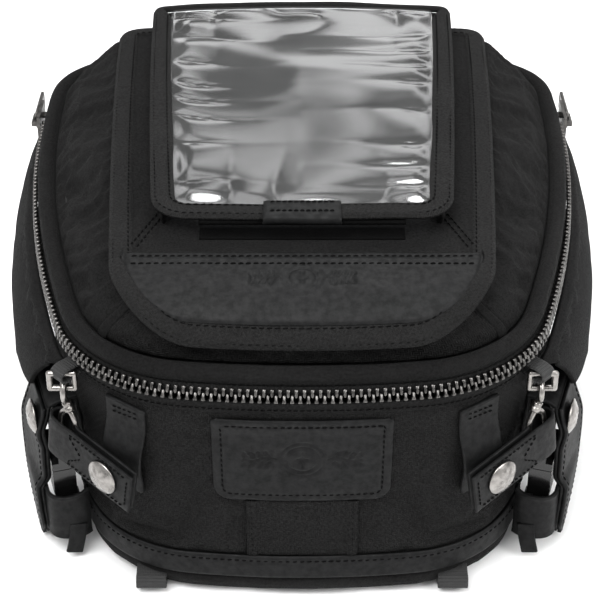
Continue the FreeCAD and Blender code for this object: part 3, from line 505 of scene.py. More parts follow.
def vinyl(name):
    """Clear soft vinyl: mostly see-through, with mirror-like highlights and a slight haze."""
    n = Nodes(name)
    tree = n.tree
    ripple = n.noise(26.0, 2.0)
    normal = n.bump(ripple, 0.15, 1.0 * MM)
    clear = n.add("ShaderNodeBsdfTransparent", Color=(0.90, 0.91, 0.92, 1.0))
    gloss = n.add("ShaderNodeBsdfGlossy", Color=(0.97, 0.97, 0.98, 1.0), Roughness=0.10)
    haze = n.add("ShaderNodeBsdfDiffuse", Color=(0.62, 0.62, 0.61, 1.0))
    fresnel = n.add("ShaderNodeFresnel", IOR=1.55)
    for node in (gloss, fresnel, haze):
        n.link(normal, node.inputs["Normal"])
    front = n.math("SUBTRACT", 1.0, n.add("ShaderNodeNewGeometry").outputs["Backfacing"])
    mirror = n.math("MULTIPLY", n.math("MINIMUM", n.math("MULTIPLY", fresnel.outputs[0], 1.9), 0.35), front)
    first = n.add("ShaderNodeMixShader")
    n.link(mirror, first.inputs[0])
    n.link(clear.outputs[0], first.inputs[1])
    n.link(gloss.outputs[0], first.inputs[2])
    second = n.add("ShaderNodeMixShader")
    n.link(n.span(ripple, 0.01, 0.05), second.inputs[0])
    n.link(first.outputs[0], second.inputs[1])
    n.link(haze.outputs[0], second.inputs[2])
    output = tree.nodes["Material Output"]
    n.link(second.outputs[0], output.inputs["Surface"])
    n.set(Base_Color=(0.8, 0.82, 0.84, 1.0), Alpha=0.35, Roughness=0.08)
    return n.material


def hook_and_loop(name):
    """Tape with a fuzzy or barbed face."""
    n = Nodes(name)
    fuzz = n.noise(1400.0, 4.0, 0.7)
    colour = n.ramp(fuzz, [(0.35, grey(0.001)), (0.75, grey(0.005))])
    return n.set(Base_Color=colour, Roughness=0.95, Normal=n.bump(fuzz, 0.9, 0.6 * MM),
                 Specular_IOR_Level=0.04)


def ribbed(name, tone, pitch):
    """Ribbed webbing: cords across the strap and a fine weave between them. Its colour has painted highlight on
    the cords and painted shade between them, plus random fuzz tone.
    """
    n = Nodes(name)
    u, v = n.uv()
    rib = n.math("ABSOLUTE", n.math("SINE", n.math("MULTIPLY", u, math.pi / pitch)))
    fine = n.math("ABSOLUTE", n.math("SINE", n.math("MULTIPLY", v, math.pi / (pitch * 0.6))))
    height = n.math("ADD", rib, n.math("MULTIPLY", fine, 0.35))
    fuzz = n.noise(800.0, 3.0)
    # Colour: painted highlight on the cord tops and painted shade between the cords, taken from the rib height;
    # the fuzz noise adds random tone.
    light = n.math("ADD", n.math("MULTIPLY", height, 0.5), n.math("MULTIPLY", fuzz, 0.4))
    colour = n.ramp(light, [(0.2, grey(tone * 0.4)), (0.95, grey(tone * 1.5))])
    return n.set(Base_Color=colour, Roughness=0.8, Normal=n.bump(height, 0.8, 0.4 * MM), Sheen_Weight=0.03)


BALLISTIC = woven("ballistic_nylon", 0.0038, 0.85, 0.30, "basket", 0.75, 0.0, 0.75)
SMOOTH_CLOTH = woven("smooth_nylon", 0.0042, 0.42, 0.12, "plain", 0.88, 0.01, 0.35)
TWILL = woven("twill_binding", 0.0052, 0.55, 0.25, "herringbone", 0.8, 0.01, 0.7)
TAPE = woven("zip_tape", 0.0050, 0.5, 0.15, "twill", 0.85, 0.0, 0.5)
LINING = woven("padding_liner", 0.020, 0.5, 0.12, "plain", 0.85, 0.02, 0.3)
BASE_CLOTH = woven("base_fabric", 0.0070, 0.6, 0.15, "plain", 0.9, 0.01, 0.3)
WEBBING = ribbed("webbing", 0.0075, 1.3)
LEATHER = leather("leather", 0.0050)
SILVER = metal("silver", 0.30, 0.20, 0.05, 0.5)
GUNMETAL = metal("zip_metal", 0.13, 0.24, 0.04, 0.6)
GLOSS_BLACK = plastic("buckle_plastic", 0.004, 0.12)
BOARD = plastic("board", 0.020, 0.5)
RUBBER = plastic("grip_sheet", 0.010, 0.75)
VINYL = vinyl("clear_vinyl")
FUZZ = hook_and_loop("hook_loop")


def thread_material():
    n = Nodes("thread")
    strand = n.noise(1600.0, 2.0)
    colour = n.ramp(strand, [(0.3, grey(0.001)), (0.7, grey(0.004))])
    return n.set(Base_Color=colour, Roughness=0.7, Normal=n.bump(strand, 0.4, 0.1 * MM),
                 Specular_IOR_Level=0.04)


THREAD = thread_material()

# ------------------------------------------------------------------ outlines

class Plan:
    """Closed plan outline of eight tangent arcs, symmetric about X = 0."""

    def __init__(self, half_width, widest_y, side_r, near_y, near_r, far_y, far_r, near_corner, far_corner,
                 shares=None):
        self.half_width = half_width
        self.widest_y = widest_y
        self.side_r = side_r
        self.near_y = near_y
        self.near_r = near_r
        self.far_y = far_y
        self.far_r = far_r
        self.near_corner = near_corner
        self.far_corner = far_corner
        self.shares = self.own_shares() if shares is None else shares

    def inset(self, d):
        """The concentric outline that lies d inside this one."""
        return Plan(self.half_width - d, self.widest_y, self.side_r - d, self.near_y + d, self.near_r - d,
                    self.far_y - d, self.far_r - d, max(self.near_corner - d, 2.0),
                    max(self.far_corner - d, 2.0), self.shares)

    def corner(self, end_centre_y, end_r, corner_r, side):
        """Corner arc's centre, its join with the side arc and its join with the end arc."""
        sx = self.half_width - self.side_r
        sy = self.widest_y
        r1 = self.side_r - corner_r
        r2 = end_r - corner_r
        dx = -sx
        dy = end_centre_y - sy
        d = math.hypot(dx, dy)
        a = (r1 * r1 - r2 * r2 + d * d) / (2 * d)
        h = math.sqrt(r1 * r1 - a * a) * side
        centre = np.array([sx + (a * dx - h * dy) / d, sy + (a * dy + h * dx) / d])
        from_side = unit(centre - np.array([sx, sy]))
        from_end = unit(centre - np.array([0.0, end_centre_y]))
        return centre, centre + from_side * corner_r, centre + from_end * corner_r

    def arcs(self):
        """The right half's arcs, far tip to near tip: centre, radius, first angle, last angle."""
        far_centre = np.array([0.0, self.far_y - self.far_r])
        side_centre = np.array([self.half_width - self.side_r, self.widest_y])
        near_centre = np.array([0.0, self.near_y + self.near_r])
        far_c, far_side, far_end = self.corner(far_centre[1], self.far_r, self.far_corner, 1)
        near_c, near_side, near_end = self.corner(near_centre[1], self.near_r, self.near_corner, -1)

        def angle(centre, point):
            return math.atan2(point[1] - centre[1], point[0] - centre[0])

        return [
            (far_centre, self.far_r, math.pi / 2, angle(far_centre, far_end)),
            (far_c, self.far_corner, angle(far_c, far_end), angle(far_c, far_side)),
            (side_centre, self.side_r, angle(side_centre, far_side), angle(side_centre, near_side)),
            (near_c, self.near_corner, angle(near_c, near_side), angle(near_c, near_end)),
            (near_centre, self.near_r, angle(near_centre, near_end), -math.pi / 2),
        ]

    def own_shares(self):
        lengths = [r * (a0 - a1) for _, r, a0, a1 in self.arcs()]
        return np.concatenate([[0], np.cumsum(lengths)]) / sum(lengths)

    def at(self, t):
        """Points and outward directions; t goes 0 at the far tip, right side, 0.5 near tip, left side, 1."""
        t = np.atleast_1d(np.asarray(t, float)) % 1.0
        half = 2 * np.minimum(t, 1 - t)
        points = np.zeros((len(t), 2))
        normals = np.zeros((len(t), 2))
        for (centre, r, a0, a1), low, high in zip(self.arcs(), self.shares[:-1], self.shares[1:]):
            inside = (half >= low - 1e-9) & (half <= high + 1e-9)
            angle = a0 + (a1 - a0) * (half[inside] - low) / (high - low)
            normals[inside] = np.stack([np.cos(angle), np.sin(angle)], axis=1)
            points[inside] = centre + normals[inside] * r
        sign = np.where(t > 0.5, -1.0, 1.0)
        points[:, 0] *= sign
        normals[:, 0] *= sign
        return points, normals

    def corner_t(self, far):
        """Middle of the right-hand near or far corner."""
        k = 1 if far else 3
        return (self.shares[k] + self.shares[k + 1]) / 4

    def find(self, axis, value, low, high):
        """Where between t low and t high a coordinate (0 for x, 1 for y) takes the value."""
        ts = np.linspace(low, high, 600)
        values = self.at(ts)[0][:, axis]
        order = np.argsort(values)
        return float(np.interp(value, values[order], ts[order]))

    def spread(self, t0, t1, step):
        """Values of t from t0 to t1 at about equal steps along the outline."""
        ts = np.linspace(t0, t1, 900)
        points = self.at(ts)[0]
        lengths = np.concatenate([[0], np.cumsum(np.linalg.norm(np.diff(points, axis=0), axis=1))])
        count = max(int(round(lengths[-1] / step)), 2)
        return np.interp(np.linspace(0, lengths[-1], count + 1), lengths, ts)

    def fill(self, step):
        """Plan points that fill the outline: four edges between the corner middles, blended across."""
        near = self.corner_t(False)
        far = self.corner_t(True)
        width = 2 * self.half_width
        depth = self.far_y - self.near_y
        u = np.linspace(0, 1, max(int(width / step), 3) + 1)
        v = np.linspace(0, 1, max(int(depth / step), 3) + 1)
        low = self.at(1 - near + (2 * near - 1) * u)[0]
        high = self.at(1 - far + 2 * far * u)[0]
        left = self.at(1 - near + (near - far) * v)[0]
        right = self.at(near + (far - near) * v)[0]
        uu = u[:, None, None]
        vv = v[None, :, None]
        edges = low[:, None] * (1 - vv) + high[:, None] * vv + left[None] * (1 - uu) + right[None] * uu
        corners = (low[0] * (1 - uu) * (1 - vv) + low[-1] * uu * (1 - vv)
                   + high[0] * (1 - uu) * vv + high[-1] * uu * vv)
        return edges - corners


TEETH_PROUD = 1.2
ZIP_PLAN = Plan(TEETH_HIGH[0] - TEETH_PROUD, 81.0, 600.0, TEETH_LOW[1] + TEETH_PROUD, 420.0,
                HINGE_HIGH[1] + 2.0, 700.0, 67.0, 45.0)
TAPER_Y = 350.0
FLAP_PLAN = Plan(102.4, TAPER_Y, 5350.0, -141.5, 1200.0, FLAP_HIGH[1], 700.0, 39.0, 13.0)
WINDOW_PLAN = Plan(84.2, TAPER_Y, 5080.0, WINDOW_LOW[1], 1200.0, WINDOW_HIGH[1], 400.0, 17.0, 8.0)
T_NEAR_RIGHT = ZIP_PLAN.find(1, NEAR_SEAM_Y, 0.1, 0.5)
T_FAR_RIGHT = ZIP_PLAN.find(1, FAR_SEAM_Y, 0.0, 0.4)


def lift(xy, z):
    """Plan points raised to a level."""
    z = np.broadcast_to(np.asarray(z, float), xy.shape[:-1])
    return np.concatenate([xy, z[..., None]], axis=-1)


def body_inset(z):
    return np.interp(z, [BASE_TOP, 60.0, 100.0, WALL_TOP], [8.0, 7.0, 5.0, 3.0])


def wall_line(ts, zs, out=0.0):
    """Points on the body wall for matching ts and zs, moved out, and the outward directions."""
    zs = np.broadcast_to(np.asarray(zs, float), np.shape(ts))
    outs = np.broadcast_to(np.asarray(out, float), np.shape(ts))
    points = []
    normals = []
    for t, z, o in zip(ts, zs, outs):
        xy, n = ZIP_PLAN.inset(float(body_inset(z))).at(t)
        points.append([xy[0, 0] + n[0, 0] * o, xy[0, 1] + n[0, 1] * o, z])
        normals.append([n[0, 0], n[0, 1], 0.0])
    return np.array(points), np.array(normals)


def ring_grid(ts, profile):
    """Grid over ts and a profile of (inset from the zip outline, level)."""
    return np.stack([lift(ZIP_PLAN.inset(inset).at(ts)[0], z) for inset, z in profile], axis=1)


def wall_grid(ts, zs, out=0.0):
    profile = [(float(body_inset(z)), z) for z in zs]
    grid = ring_grid(ts, profile)
    directions = lift(ZIP_PLAN.at(ts)[1], 0.0)
    out = np.broadcast_to(np.asarray(out, float), grid.shape[:2])
    return grid + directions[:, None] * out[..., None]


def near_t(x):
    """t on the near wall where the wall's x takes the value."""
    return ZIP_PLAN.inset(7.0).find(0, x, 0.3, 0.7)


# ------------------------------------------------------------------ crowned top

CROWN_Y = -20.0
CROWN_R = 1400.0
FLAP_T = 3.0
LIP_R = 44.53
LIP_CENTRE = (-106.12, 116.04)
LIP_BLEND = 0.6
CROWN_Z = WINDOW_HIGH[2] - 16.0  # the window frame stands 16 mm proud of the flap's underside


def top_z(y):
    """Level of the flap's underside: a flat crown that turns down into the lip over the near wall."""
    crown = CROWN_Z - (y - CROWN_Y) ** 2 / (2 * CROWN_R)
    lip = LIP_CENTRE[1] + np.sqrt(np.maximum(LIP_R ** 2 - np.minimum(y - LIP_CENTRE[0], 0.0) ** 2, 1.0))
    return -LIP_BLEND * np.logaddexp(-crown / LIP_BLEND, -lip / LIP_BLEND)


def top_normal(y):
    slope = (top_z(y + 0.1) - top_z(y - 0.1)) / 0.2
    return unit(np.stack([np.zeros_like(slope), -slope, np.ones_like(slope)], axis=-1))


def on_top(xy, rise=0.0):
    """Plan points laid on the crowned top, raised along its normal."""
    y = xy[..., 1]
    rise = np.broadcast_to(np.asarray(rise, float), y.shape)
    return lift(xy, top_z(y)) + top_normal(y) * rise[..., None]


def top_ring(plan, ts, widths, rise):
    """Grid whose rows lie at true distances in from the outline, measured on the crowned top."""
    insets = np.linspace(0, np.max(widths) * 1.02 + 0.01, 40)
    xy = np.stack([plan.inset(d).at(ts)[0] for d in insets], axis=1)
    surface = on_top(xy)
    steps = np.linalg.norm(np.diff(surface, axis=1), axis=-1)
    lengths = np.concatenate([np.zeros((len(ts), 1)), np.cumsum(steps, axis=1)], axis=1)
    widths = np.broadcast_to(np.asarray(widths, float), (len(ts), np.shape(widths)[-1]))
    rows = np.stack([[np.interp(widths[i], lengths[i], xy[i, :, k]) for k in (0, 1)] for i in range(len(ts))])
    return on_top(np.moveaxis(rows, 1, -1), rise)


# ------------------------------------------------------------------ cloth

def relaxed(grid, pinned, pressure=2.0, gravity=0.0, slack=0.0, cap=6.0, frames=18, stiffness=15.0):
    """Cloth simulation of an open sheet. Pinned points stay; no point moves further than cap."""
    nu, nv = grid.shape[:2]
    index = np.arange(nu * nv).reshape(nu, nv)
    faces = np.stack([index[:-1, :-1], index[1:, :-1], index[1:, 1:], index[:-1, 1:]], axis=-1).reshape(-1, 4)
    mesh = bpy.data.meshes.new("cloth_source")
    mesh.from_pydata([tuple(v) for v in grid.reshape(-1, 3) * MM], [], faces.tolist())
    sheet = bpy.data.objects.new("cloth_source", mesh)
    bpy.context.scene.collection.objects.link(sheet)
    group = sheet.vertex_groups.new(name="pin")
    group.add([int(i) for i in index[pinned]], 1.0, "REPLACE")
    cloth = sheet.modifiers.new("cloth", "CLOTH")
    settings = cloth.settings
    settings.quality = 6
    settings.mass = 0.3
    settings.tension_stiffness = stiffness
    settings.compression_stiffness = stiffness
    settings.shear_stiffness = 5.0
    settings.bending_stiffness = 0.5
    settings.vertex_group_mass = "pin"
    settings.use_pressure = abs(pressure) > 0
    settings.uniform_pressure_force = pressure
    settings.shrink_min = -slack
    settings.effector_weights.gravity = gravity
    scene = bpy.context.scene
    scene.frame_start = 1
    scene.frame_end = frames
    for frame_number in range(1, frames + 1):
        scene.frame_set(frame_number)
    depsgraph = bpy.context.evaluated_depsgraph_get()
    result = sheet.evaluated_get(depsgraph).to_mesh()
    moved = np.zeros(nu * nv * 3, np.float32)
    result.vertices.foreach_get("co", moved)
    sheet.evaluated_get(depsgraph).to_mesh_clear()
    bpy.data.objects.remove(sheet)
    bpy.data.meshes.remove(mesh)
    scene.frame_set(1)
    shift = moved.reshape(nu, nv, 3) / MM - grid
    size = np.linalg.norm(shift, axis=-1, keepdims=True)
    return grid + shift * np.minimum(1.0, cap / np.maximum(size, 1e-6))


def edge_mask(nu, nv, left=True, right=True, low=True, high=True):
    mask = np.zeros((nu, nv), bool)
    mask[0] |= left
    mask[-1] |= right
    mask[:, 0] |= low
    mask[:, -1] |= high
    return mask


def refined(grid, times=2):
    """Grid with more points, smooth between the old ones."""
    for axis in (0, 1):
        n = grid.shape[axis]
        at = np.linspace(0, n - 1, (n - 1) * times + 1)
        k = np.clip(np.floor(at).astype(int), 0, n - 2)
        shape = [1, 1, 1]
        shape[axis] = len(at)
        t = (at - k).reshape(shape)
        p0, p1, p2, p3 = (np.take(grid, np.clip(k + d, 0, n - 1), axis=axis) for d in (-1, 0, 1, 2))
        grid = 0.5 * (2 * p1 + (p2 - p0) * t + (2 * p0 - 5 * p1 + 4 * p2 - p3) * t ** 2
                      + (3 * p1 - p0 - 3 * p2 + p3) * t ** 3)
    return grid


def creased(grid, amount, scale, seed, margin=3, flip=False):
    """Small soft creases that fade out towards the sheet's edges."""
    nu, nv = grid.shape[:2]
    i = np.minimum(np.arange(nu), np.arange(nu)[::-1])[:, None] / margin
    j = np.minimum(np.arange(nv), np.arange(nv)[::-1])[None] / margin
    fade = smooth(np.minimum(i, 1.0)) * smooth(np.minimum(j, 1.0))
    waves = wobble(grid, scale, seed) + 0.5 * wobble(grid, scale * 0.45, seed + 9.0)
    return grid + grid_normals(grid, flip) * (amount * fade * waves)[..., None]

# ------------------------------------------------------------------ body

def base_pad():
    """Soft quilted pad under the bag, swollen between its stitched seams."""
    ts = np.linspace(0, 1, 221)[:-1]
    profile = [(24.0, 1.7), (17.0, 1.6), (12.5, 2.6), (9.6, 5.0), (8.6, 8.0), (8.8, 11.0), (10.0, 13.4),
               (14.0, 13.9)]
    grid = ring_grid(ts, profile)
    outward = lift(ZIP_PLAN.at(ts)[1], 0.0)
    bulge = np.array([0.0, 0.2, 0.7, 1.0, 1.0, 0.8, 0.2, 0.0])
    waves = wobble(outward * 120.0, 26.0, 3.0)
    tucks = np.abs(np.sin(np.linspace(0, 1, len(ts)) * math.pi * 17)) ** 0.5
    grid = grid + outward[:, None] * (bulge[None] * (1.4 * tucks + 1.1 * waves)[:, None])[..., None]
    nu, nv = grid.shape[:2]
    verts = grid.reshape(-1, 3)
    faces = []
    for i in range(nu):
        k = (i + 1) % nu
        for j in range(nv - 1):
            faces.append((i * nv + j, k * nv + j, k * nv + j + 1, i * nv + j + 1))
    faces.append(tuple(i * nv for i in range(nu)))
    faces.append(tuple(i * nv + nv - 1 for i in reversed(range(nu))))
    uv = grid_uvs(grid)
    piece = make_mesh("base_cushion", verts, faces, BASE_CLOTH, uv.reshape(-1, 2))
    return finish(piece, "shell", ["base_pad"])


def body_wall(name, t0, t1, material, node, seed, pressure, pins=None, step=4.0):
    """One fabric panel of the body, a little swollen between its seams."""
    ts = ZIP_PLAN.spread(t0, t1, step)
    zs = np.linspace(BASE_TOP, FABRIC_TOP, 26)
    grid = wall_grid(ts, zs)
    mask = edge_mask(len(ts), len(zs))
    if pins is not None:
        mask |= pins(grid)
    sagged = relaxed(grid, mask, pressure=pressure, gravity=0.15, slack=0.02, cap=4.5)
    sagged = creased(refined(sagged), 0.5, 34.0, seed, 6)
    piece = slab(name, sagged, SHELL_T, material, flip=True)
    return finish(piece, "shell", [node] if node else ())


FABRIC_TOP = WALL_TOP + 4.0


def near_pins(grid):
    """Where the leather band, patch and sleeve hold the near wall flat."""
    x = np.abs(grid[..., 0])
    z = grid[..., 2]
    patch = (x < PATCH_HIGH[0] - 4) & (z > PATCH_LOW[2] + 4)
    sleeve = (x < SLEEVE_HIGH[0]) & (z < PATCH_LOW[2])
    band = z < BAND_HIGH[2]
    return patch | sleeve | band


def body_walls():
    t = T_NEAR_RIGHT
    far = T_FAR_RIGHT
    body_wall("near_wall_cloth", t, 1 - t, BALLISTIC, "rider_panel", 1.0, 1.2, near_pins)
    body_wall("side_wall_right", far, t, SMOOTH_CLOTH, None, 2.0, 1.6)
    body_wall("side_wall_left", 1 - t, 1 - far, SMOOTH_CLOTH, "side_panels", 3.0, 1.6)
    body_wall("far_wall_cloth", 1 - far, 1 + far, BALLISTIC, "far_panel", 4.0, 1.4)


def body_liner():
    """Padded liner inside the walls; it makes the mouth's rolled edge."""
    ts = np.linspace(0, 1, 241)[:-1]
    zs = np.linspace(BASE_TOP + 0.3, WALL_TOP - 0.5, 16)
    profile = [(float(body_inset(z)) + SHELL_T + 0.2, z) for z in zs]
    grid = ring_grid(ts, profile)
    quilt = 0.8 * np.abs(np.sin(zs / 17.0 * math.pi)) ** 0.6
    thickness = 3.4 + np.broadcast_to(quilt, grid.shape[:2])
    piece = slab("body_liner", grid, thickness, LINING, flip=True, closed=True)
    return finish(piece, "shell", ["body_lining"])


def rounded_out(u, thickness, edge):
    """Height profile that drops at the edges; u is the distance to the nearest edge."""
    return thickness * (1 - 0.45 * (1 - smooth(u / edge)))


def leather_band():
    """Leather strip round the near corners."""
    low = BASE_TOP - 0.6
    high = BAND_HIGH[2]
    t = T_NEAR_RIGHT + 0.004
    ts = ZIP_PLAN.spread(t, 1 - t, 2.5)
    total = high - low
    heights = np.concatenate([[0, 0.4, 1.0], np.linspace(2.2, total - 2.2, 7),
                              [total - 1.0, total - 0.4, total]])
    grid = wall_grid(ts, low + heights, 0.0)
    edge = np.minimum(heights, heights[::-1])
    out = rounded_out(edge, 2.3, 1.2)
    groove = 0.35 * np.exp(-((heights - (total - 2.6)) / 0.7) ** 2)
    waves = 0.5 * wobble(lift(ZIP_PLAN.at(ts)[0], 0.0), 30.0, 5.0)
    outward = lift(ZIP_PLAN.at(ts)[1], 0.0)
    swell = (out - groove)[None] + waves[:, None] * np.sin(np.linspace(0, math.pi, len(heights)))[None]
    grid = grid + outward[:, None] * (swell + 0.4)[..., None]
    piece = slab("leather_band_strip", grid, 2.4, LEATHER, flip=True)
    finish(piece, "shell", ["leather_band"])
    stitches("band_stitching", [wall_line(ts, high - 2.6, 2.45)], "shell")


def emblem(x, z):
    """Raised generic ornament: a ringed four-point star between two leaf sprigs; 0 to 1."""
    r = np.hypot(x, z)
    height = np.exp(-((r - 7.2) / 0.75) ** 2)
    height = np.maximum(height, np.exp(-((r - 9.6) / 0.5) ** 2) * 0.8)
    star = np.sqrt(np.abs(x)) + np.sqrt(np.abs(z))
    height = np.maximum(height, smooth((2.35 - star) / 0.35))
    for side in (-1, 1):
        along = x * side - 11.0
        inside = (along > 0) & (along < 15.0)
        stem = np.exp(-((z - 0.8 * np.sin(along * 0.42)) / 0.6) ** 2)
        height = np.maximum(height, np.where(inside, stem, 0.0))
        for k in range(4):
            cx = along - (2.5 + 3.3 * k)
            for lean in (-1, 1):
                across = cx - 0.5 * (z * lean)
                leaf = (across / 1.2) ** 2 + ((z * lean - 2.9 + 0.3 * k) / 2.3) ** 2
                height = np.maximum(height, smooth((1.15 - leaf) / 0.5) * (along > 0))
    return np.clip(height, 0, 1)


def tapered_rows(heights, half_width, low_r, top_r, total):
    """Half-width at each height of a plate with rounded lower and upper corners."""
    widths = []
    for h in heights:
        cut = 0.0
        if h < low_r:
            cut = low_r - math.sqrt(max(low_r ** 2 - (low_r - h) ** 2, 0.0))
        if total - h < top_r:
            cut = max(cut, top_r - math.sqrt(max(top_r ** 2 - (top_r - (total - h)) ** 2, 0.0)))
        widths.append(half_width - cut)
    return np.array(widths)


def near_patch():
    """Stitched leather patch on the near wall with a pressed ornament."""
    low = PATCH_LOW[2]
    total = PATCH_HIGH[2] - low
    half_w = PATCH_HIGH[0]
    r = 8.0
    heights = np.concatenate([r * (1 - np.cos(np.linspace(0, math.pi / 2, 9)))[:-1] * 0.999 + 0.02,
                              np.arange(r, total - 3.0, 0.7), total - 3.0 + np.linspace(0, 2.97, 5)])
    widths = tapered_rows(heights, half_w, r, 3.0, total)
    u = np.concatenate([[-1, -0.995, -0.985], np.linspace(-0.965, 0.965, 101), [0.985, 0.995, 1]])
    ts_by_x = np.linspace(near_t(half_w + 1), near_t(-half_w - 1), 200)
    xs = ZIP_PLAN.inset(7.0).at(ts_by_x)[0][:, 0]
    grid = np.zeros((len(u), len(heights), 3))
    for j, h in enumerate(heights):
        x = -u * widths[j]
        ts = np.interp(-x, -xs, ts_by_x)
        edge = np.minimum(np.minimum(widths[j] - np.abs(x), h), total - h)
        out = rounded_out(edge, LEATHER_T, 1.3) - 0.35 * np.exp(-((edge - 4.0) / 0.6) ** 2)
        out -= 0.75 * emblem(x, h - total * 0.52) * (edge > 5)
        out += 0.25 * wobble(np.stack([x, x * 0, np.full_like(x, h)], axis=-1), 18.0, 2.0)
        grid[:, j] = wall_line(ts, low + h, out + 0.35)[0]
    piece = slab("near_patch", grid, LEATHER_T, LEATHER, flip=True)
    finish(piece, "shell", ["rider_patch"])
    inset = 4.0
    corner = r - inset
    left = -(half_w - inset)
    path = [(left, total - inset)]
    path += [(left, total - inset - k) for k in np.arange(1, total - 2 * inset - corner, 1.5)]
    path += [(left + corner - corner * math.cos(a), inset + corner - corner * math.sin(a))
             for a in np.linspace(0, math.pi / 2, 7)]
    path += [(x, inset) for x in np.arange(left + corner + 1.5, 0, 1.5)]
    path = path + [(-x, h) for x, h in reversed(path)]
    path += [(x, total - inset) for x in np.arange(-left - 1.5, left, -1.5)] + [(left, total - inset)]
    x = np.array([p[0] for p in path])
    ts = np.interp(-x, -xs, ts_by_x)
    rows = [wall_line(ts, low + np.array([p[1] for p in path]), LEATHER_T + 0.2)]
    stitches("near_patch_stitching", rows, "shell", 3.0, 2.1)


def centre_sleeve():
    """Flat fabric sleeve below the patch: a panel with two folded side hems."""
    half_w = SLEEVE_HIGH[0]
    hem = 5.0
    low = SLEEVE_LOW[2]
    zs = np.linspace(low, SLEEVE_HIGH[2], 18)
    u = np.concatenate([[-half_w, -half_w + 0.5, -half_w + 1.2], np.linspace(-half_w + 2.0, half_w - 2.0, 41),
                        [half_w - 1.2, half_w - 0.5, half_w]])
    ts = np.array([near_t(-x) for x in u])
    edge = half_w - np.abs(u)
    groove = 0.3 * np.exp(-((edge - 2.4) / 0.5) ** 2)
    out = rounded_out(edge, 1.3, 1.0) + 0.9 * smooth((hem - edge) / 1.0) - groove
    fold = 0.35 * np.exp(-((zs - 37.0) / 0.9) ** 2)
    grid = wall_grid(ts, zs, out[:, None] - fold[None])
    piece = slab("sleeve_panel", grid, 1.2, BALLISTIC, flip=True)
    finish(piece, "shell", ["centre_sleeve"])
    rows = []
    for x in (-half_w + 2.4, half_w - 2.4):
        rows.append(wall_line(np.full(20, near_t(-x)), np.linspace(low, SLEEVE_HIGH[2], 20), 1.75))
    stitches("sleeve_stitching", rows, "shell")


def corner_bindings():
    """Ribbed tape over the near panel's two side seams."""
    low = BAND_HIGH[2] + 1.0
    zs = np.linspace(low, 90.0, 60)
    t0 = ZIP_PLAN.inset(7.0).find(1, NEAR_SEAM_Y + 1.0, 0.5, 0.9)
    t1 = ZIP_PLAN.inset(7.0).find(1, NEAR_SEAM_Y - 5.0, 0.5, 0.9)
    ts = np.linspace(t1, t0, 11)
    across = np.linspace(-1, 1, 11)
    out = 0.6 + 2.3 * (1 - across ** 4)
    ribs = 0.22 * np.sin(zs * 2 * math.pi / 1.9)
    grid = wall_grid(ts, zs, out[:, None] + ribs[None] * (1 - across ** 2)[:, None])
    piece = slab("corner_binding", grid, 2.4, WEBBING, flip=True)
    pair(piece, "shell", "corner_bindings", shared=True)


def mount_straps():
    """Folded webbing stubs that the tie-down straps sew to."""
    x = 70.0
    for far in (False, True):
        sign = 1 if far else -1
        root = 126.0 if far else -122.0
        tip = 143.5 if far else -138.0
        halfway = (root + tip) / 2
        path = bezier([(-x, root, 3.9), (-x, halfway, 3.8), (-x, tip - sign * 1.5, 4.0), (-x, tip, 5.8),
                       (-x, tip - sign * 1.8, 7.9), (-x, halfway + sign * 2.0, 8.0),
                       (-x, root + sign * 6.0, 8.4)], 40)
        tangents = unit(np.gradient(path, axis=0))
        normals = np.cross(tangents, np.array([1.0, 0, 0])) * sign
        piece = sweep("mount_strap_far" if far else "mount_strap_near", path, normals,
                      strap_section(14.0, 1.4), WEBBING)
        pair(piece, "shell", "mount_straps", shared=True)


def mirrored(piece, name):
    """Mirror image of a piece in the plane X = 0."""
    mesh = piece.data.copy()
    mesh.name = name
    points = np.zeros(len(mesh.vertices) * 3, np.float32)
    mesh.vertices.foreach_get("co", points)
    points[::3] *= -1
    mesh.vertices.foreach_set("co", points)
    mesh.flip_normals()
    twin = bpy.data.objects.new(name, mesh)
    bpy.context.scene.collection.objects.link(twin)
    for modifier in piece.modifiers:
        copy = twin.modifiers.new(modifier.name, modifier.type)
        for key in ("width", "segments", "levels", "render_levels", "limit_method", "angle_limit"):
            if hasattr(modifier, key):
                setattr(copy, key, getattr(modifier, key))
    return twin


def pair(piece, body, node=None, shared=False, blend=None):
    """Left and right pair from a left-hand piece. Shared nodes and bodies have no side in their names."""
    base = piece.name
    piece.name = base + "_left"
    twin = mirrored(piece, base + "_right")
    for side, sign, part in (("left", 1, piece), ("right", -1, twin)):
        if blend:
            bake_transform(part)
        else:
            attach(part, body if body in frame["bodies"] else body + "_" + side)
        names = ()
        if node:
            names = [node] if shared else [node + "_" + side]
        label(part, names)
    return piece, twin


# ------------------------------------------------------------------ zip

def tooth_shape():
    """Outline of one tooth as (along the chain, from the tape to the tip)."""
    outline = [(-0.80, 0.0), (-0.85, 0.9), (-0.55, 1.4), (-0.72, 2.1), (-0.66, 3.1), (-0.36, 3.6),
               (0.36, 3.6), (0.66, 3.1), (0.72, 2.1), (0.55, 1.4), (0.85, 0.9), (0.80, 0.0)]
    return np.array(outline)


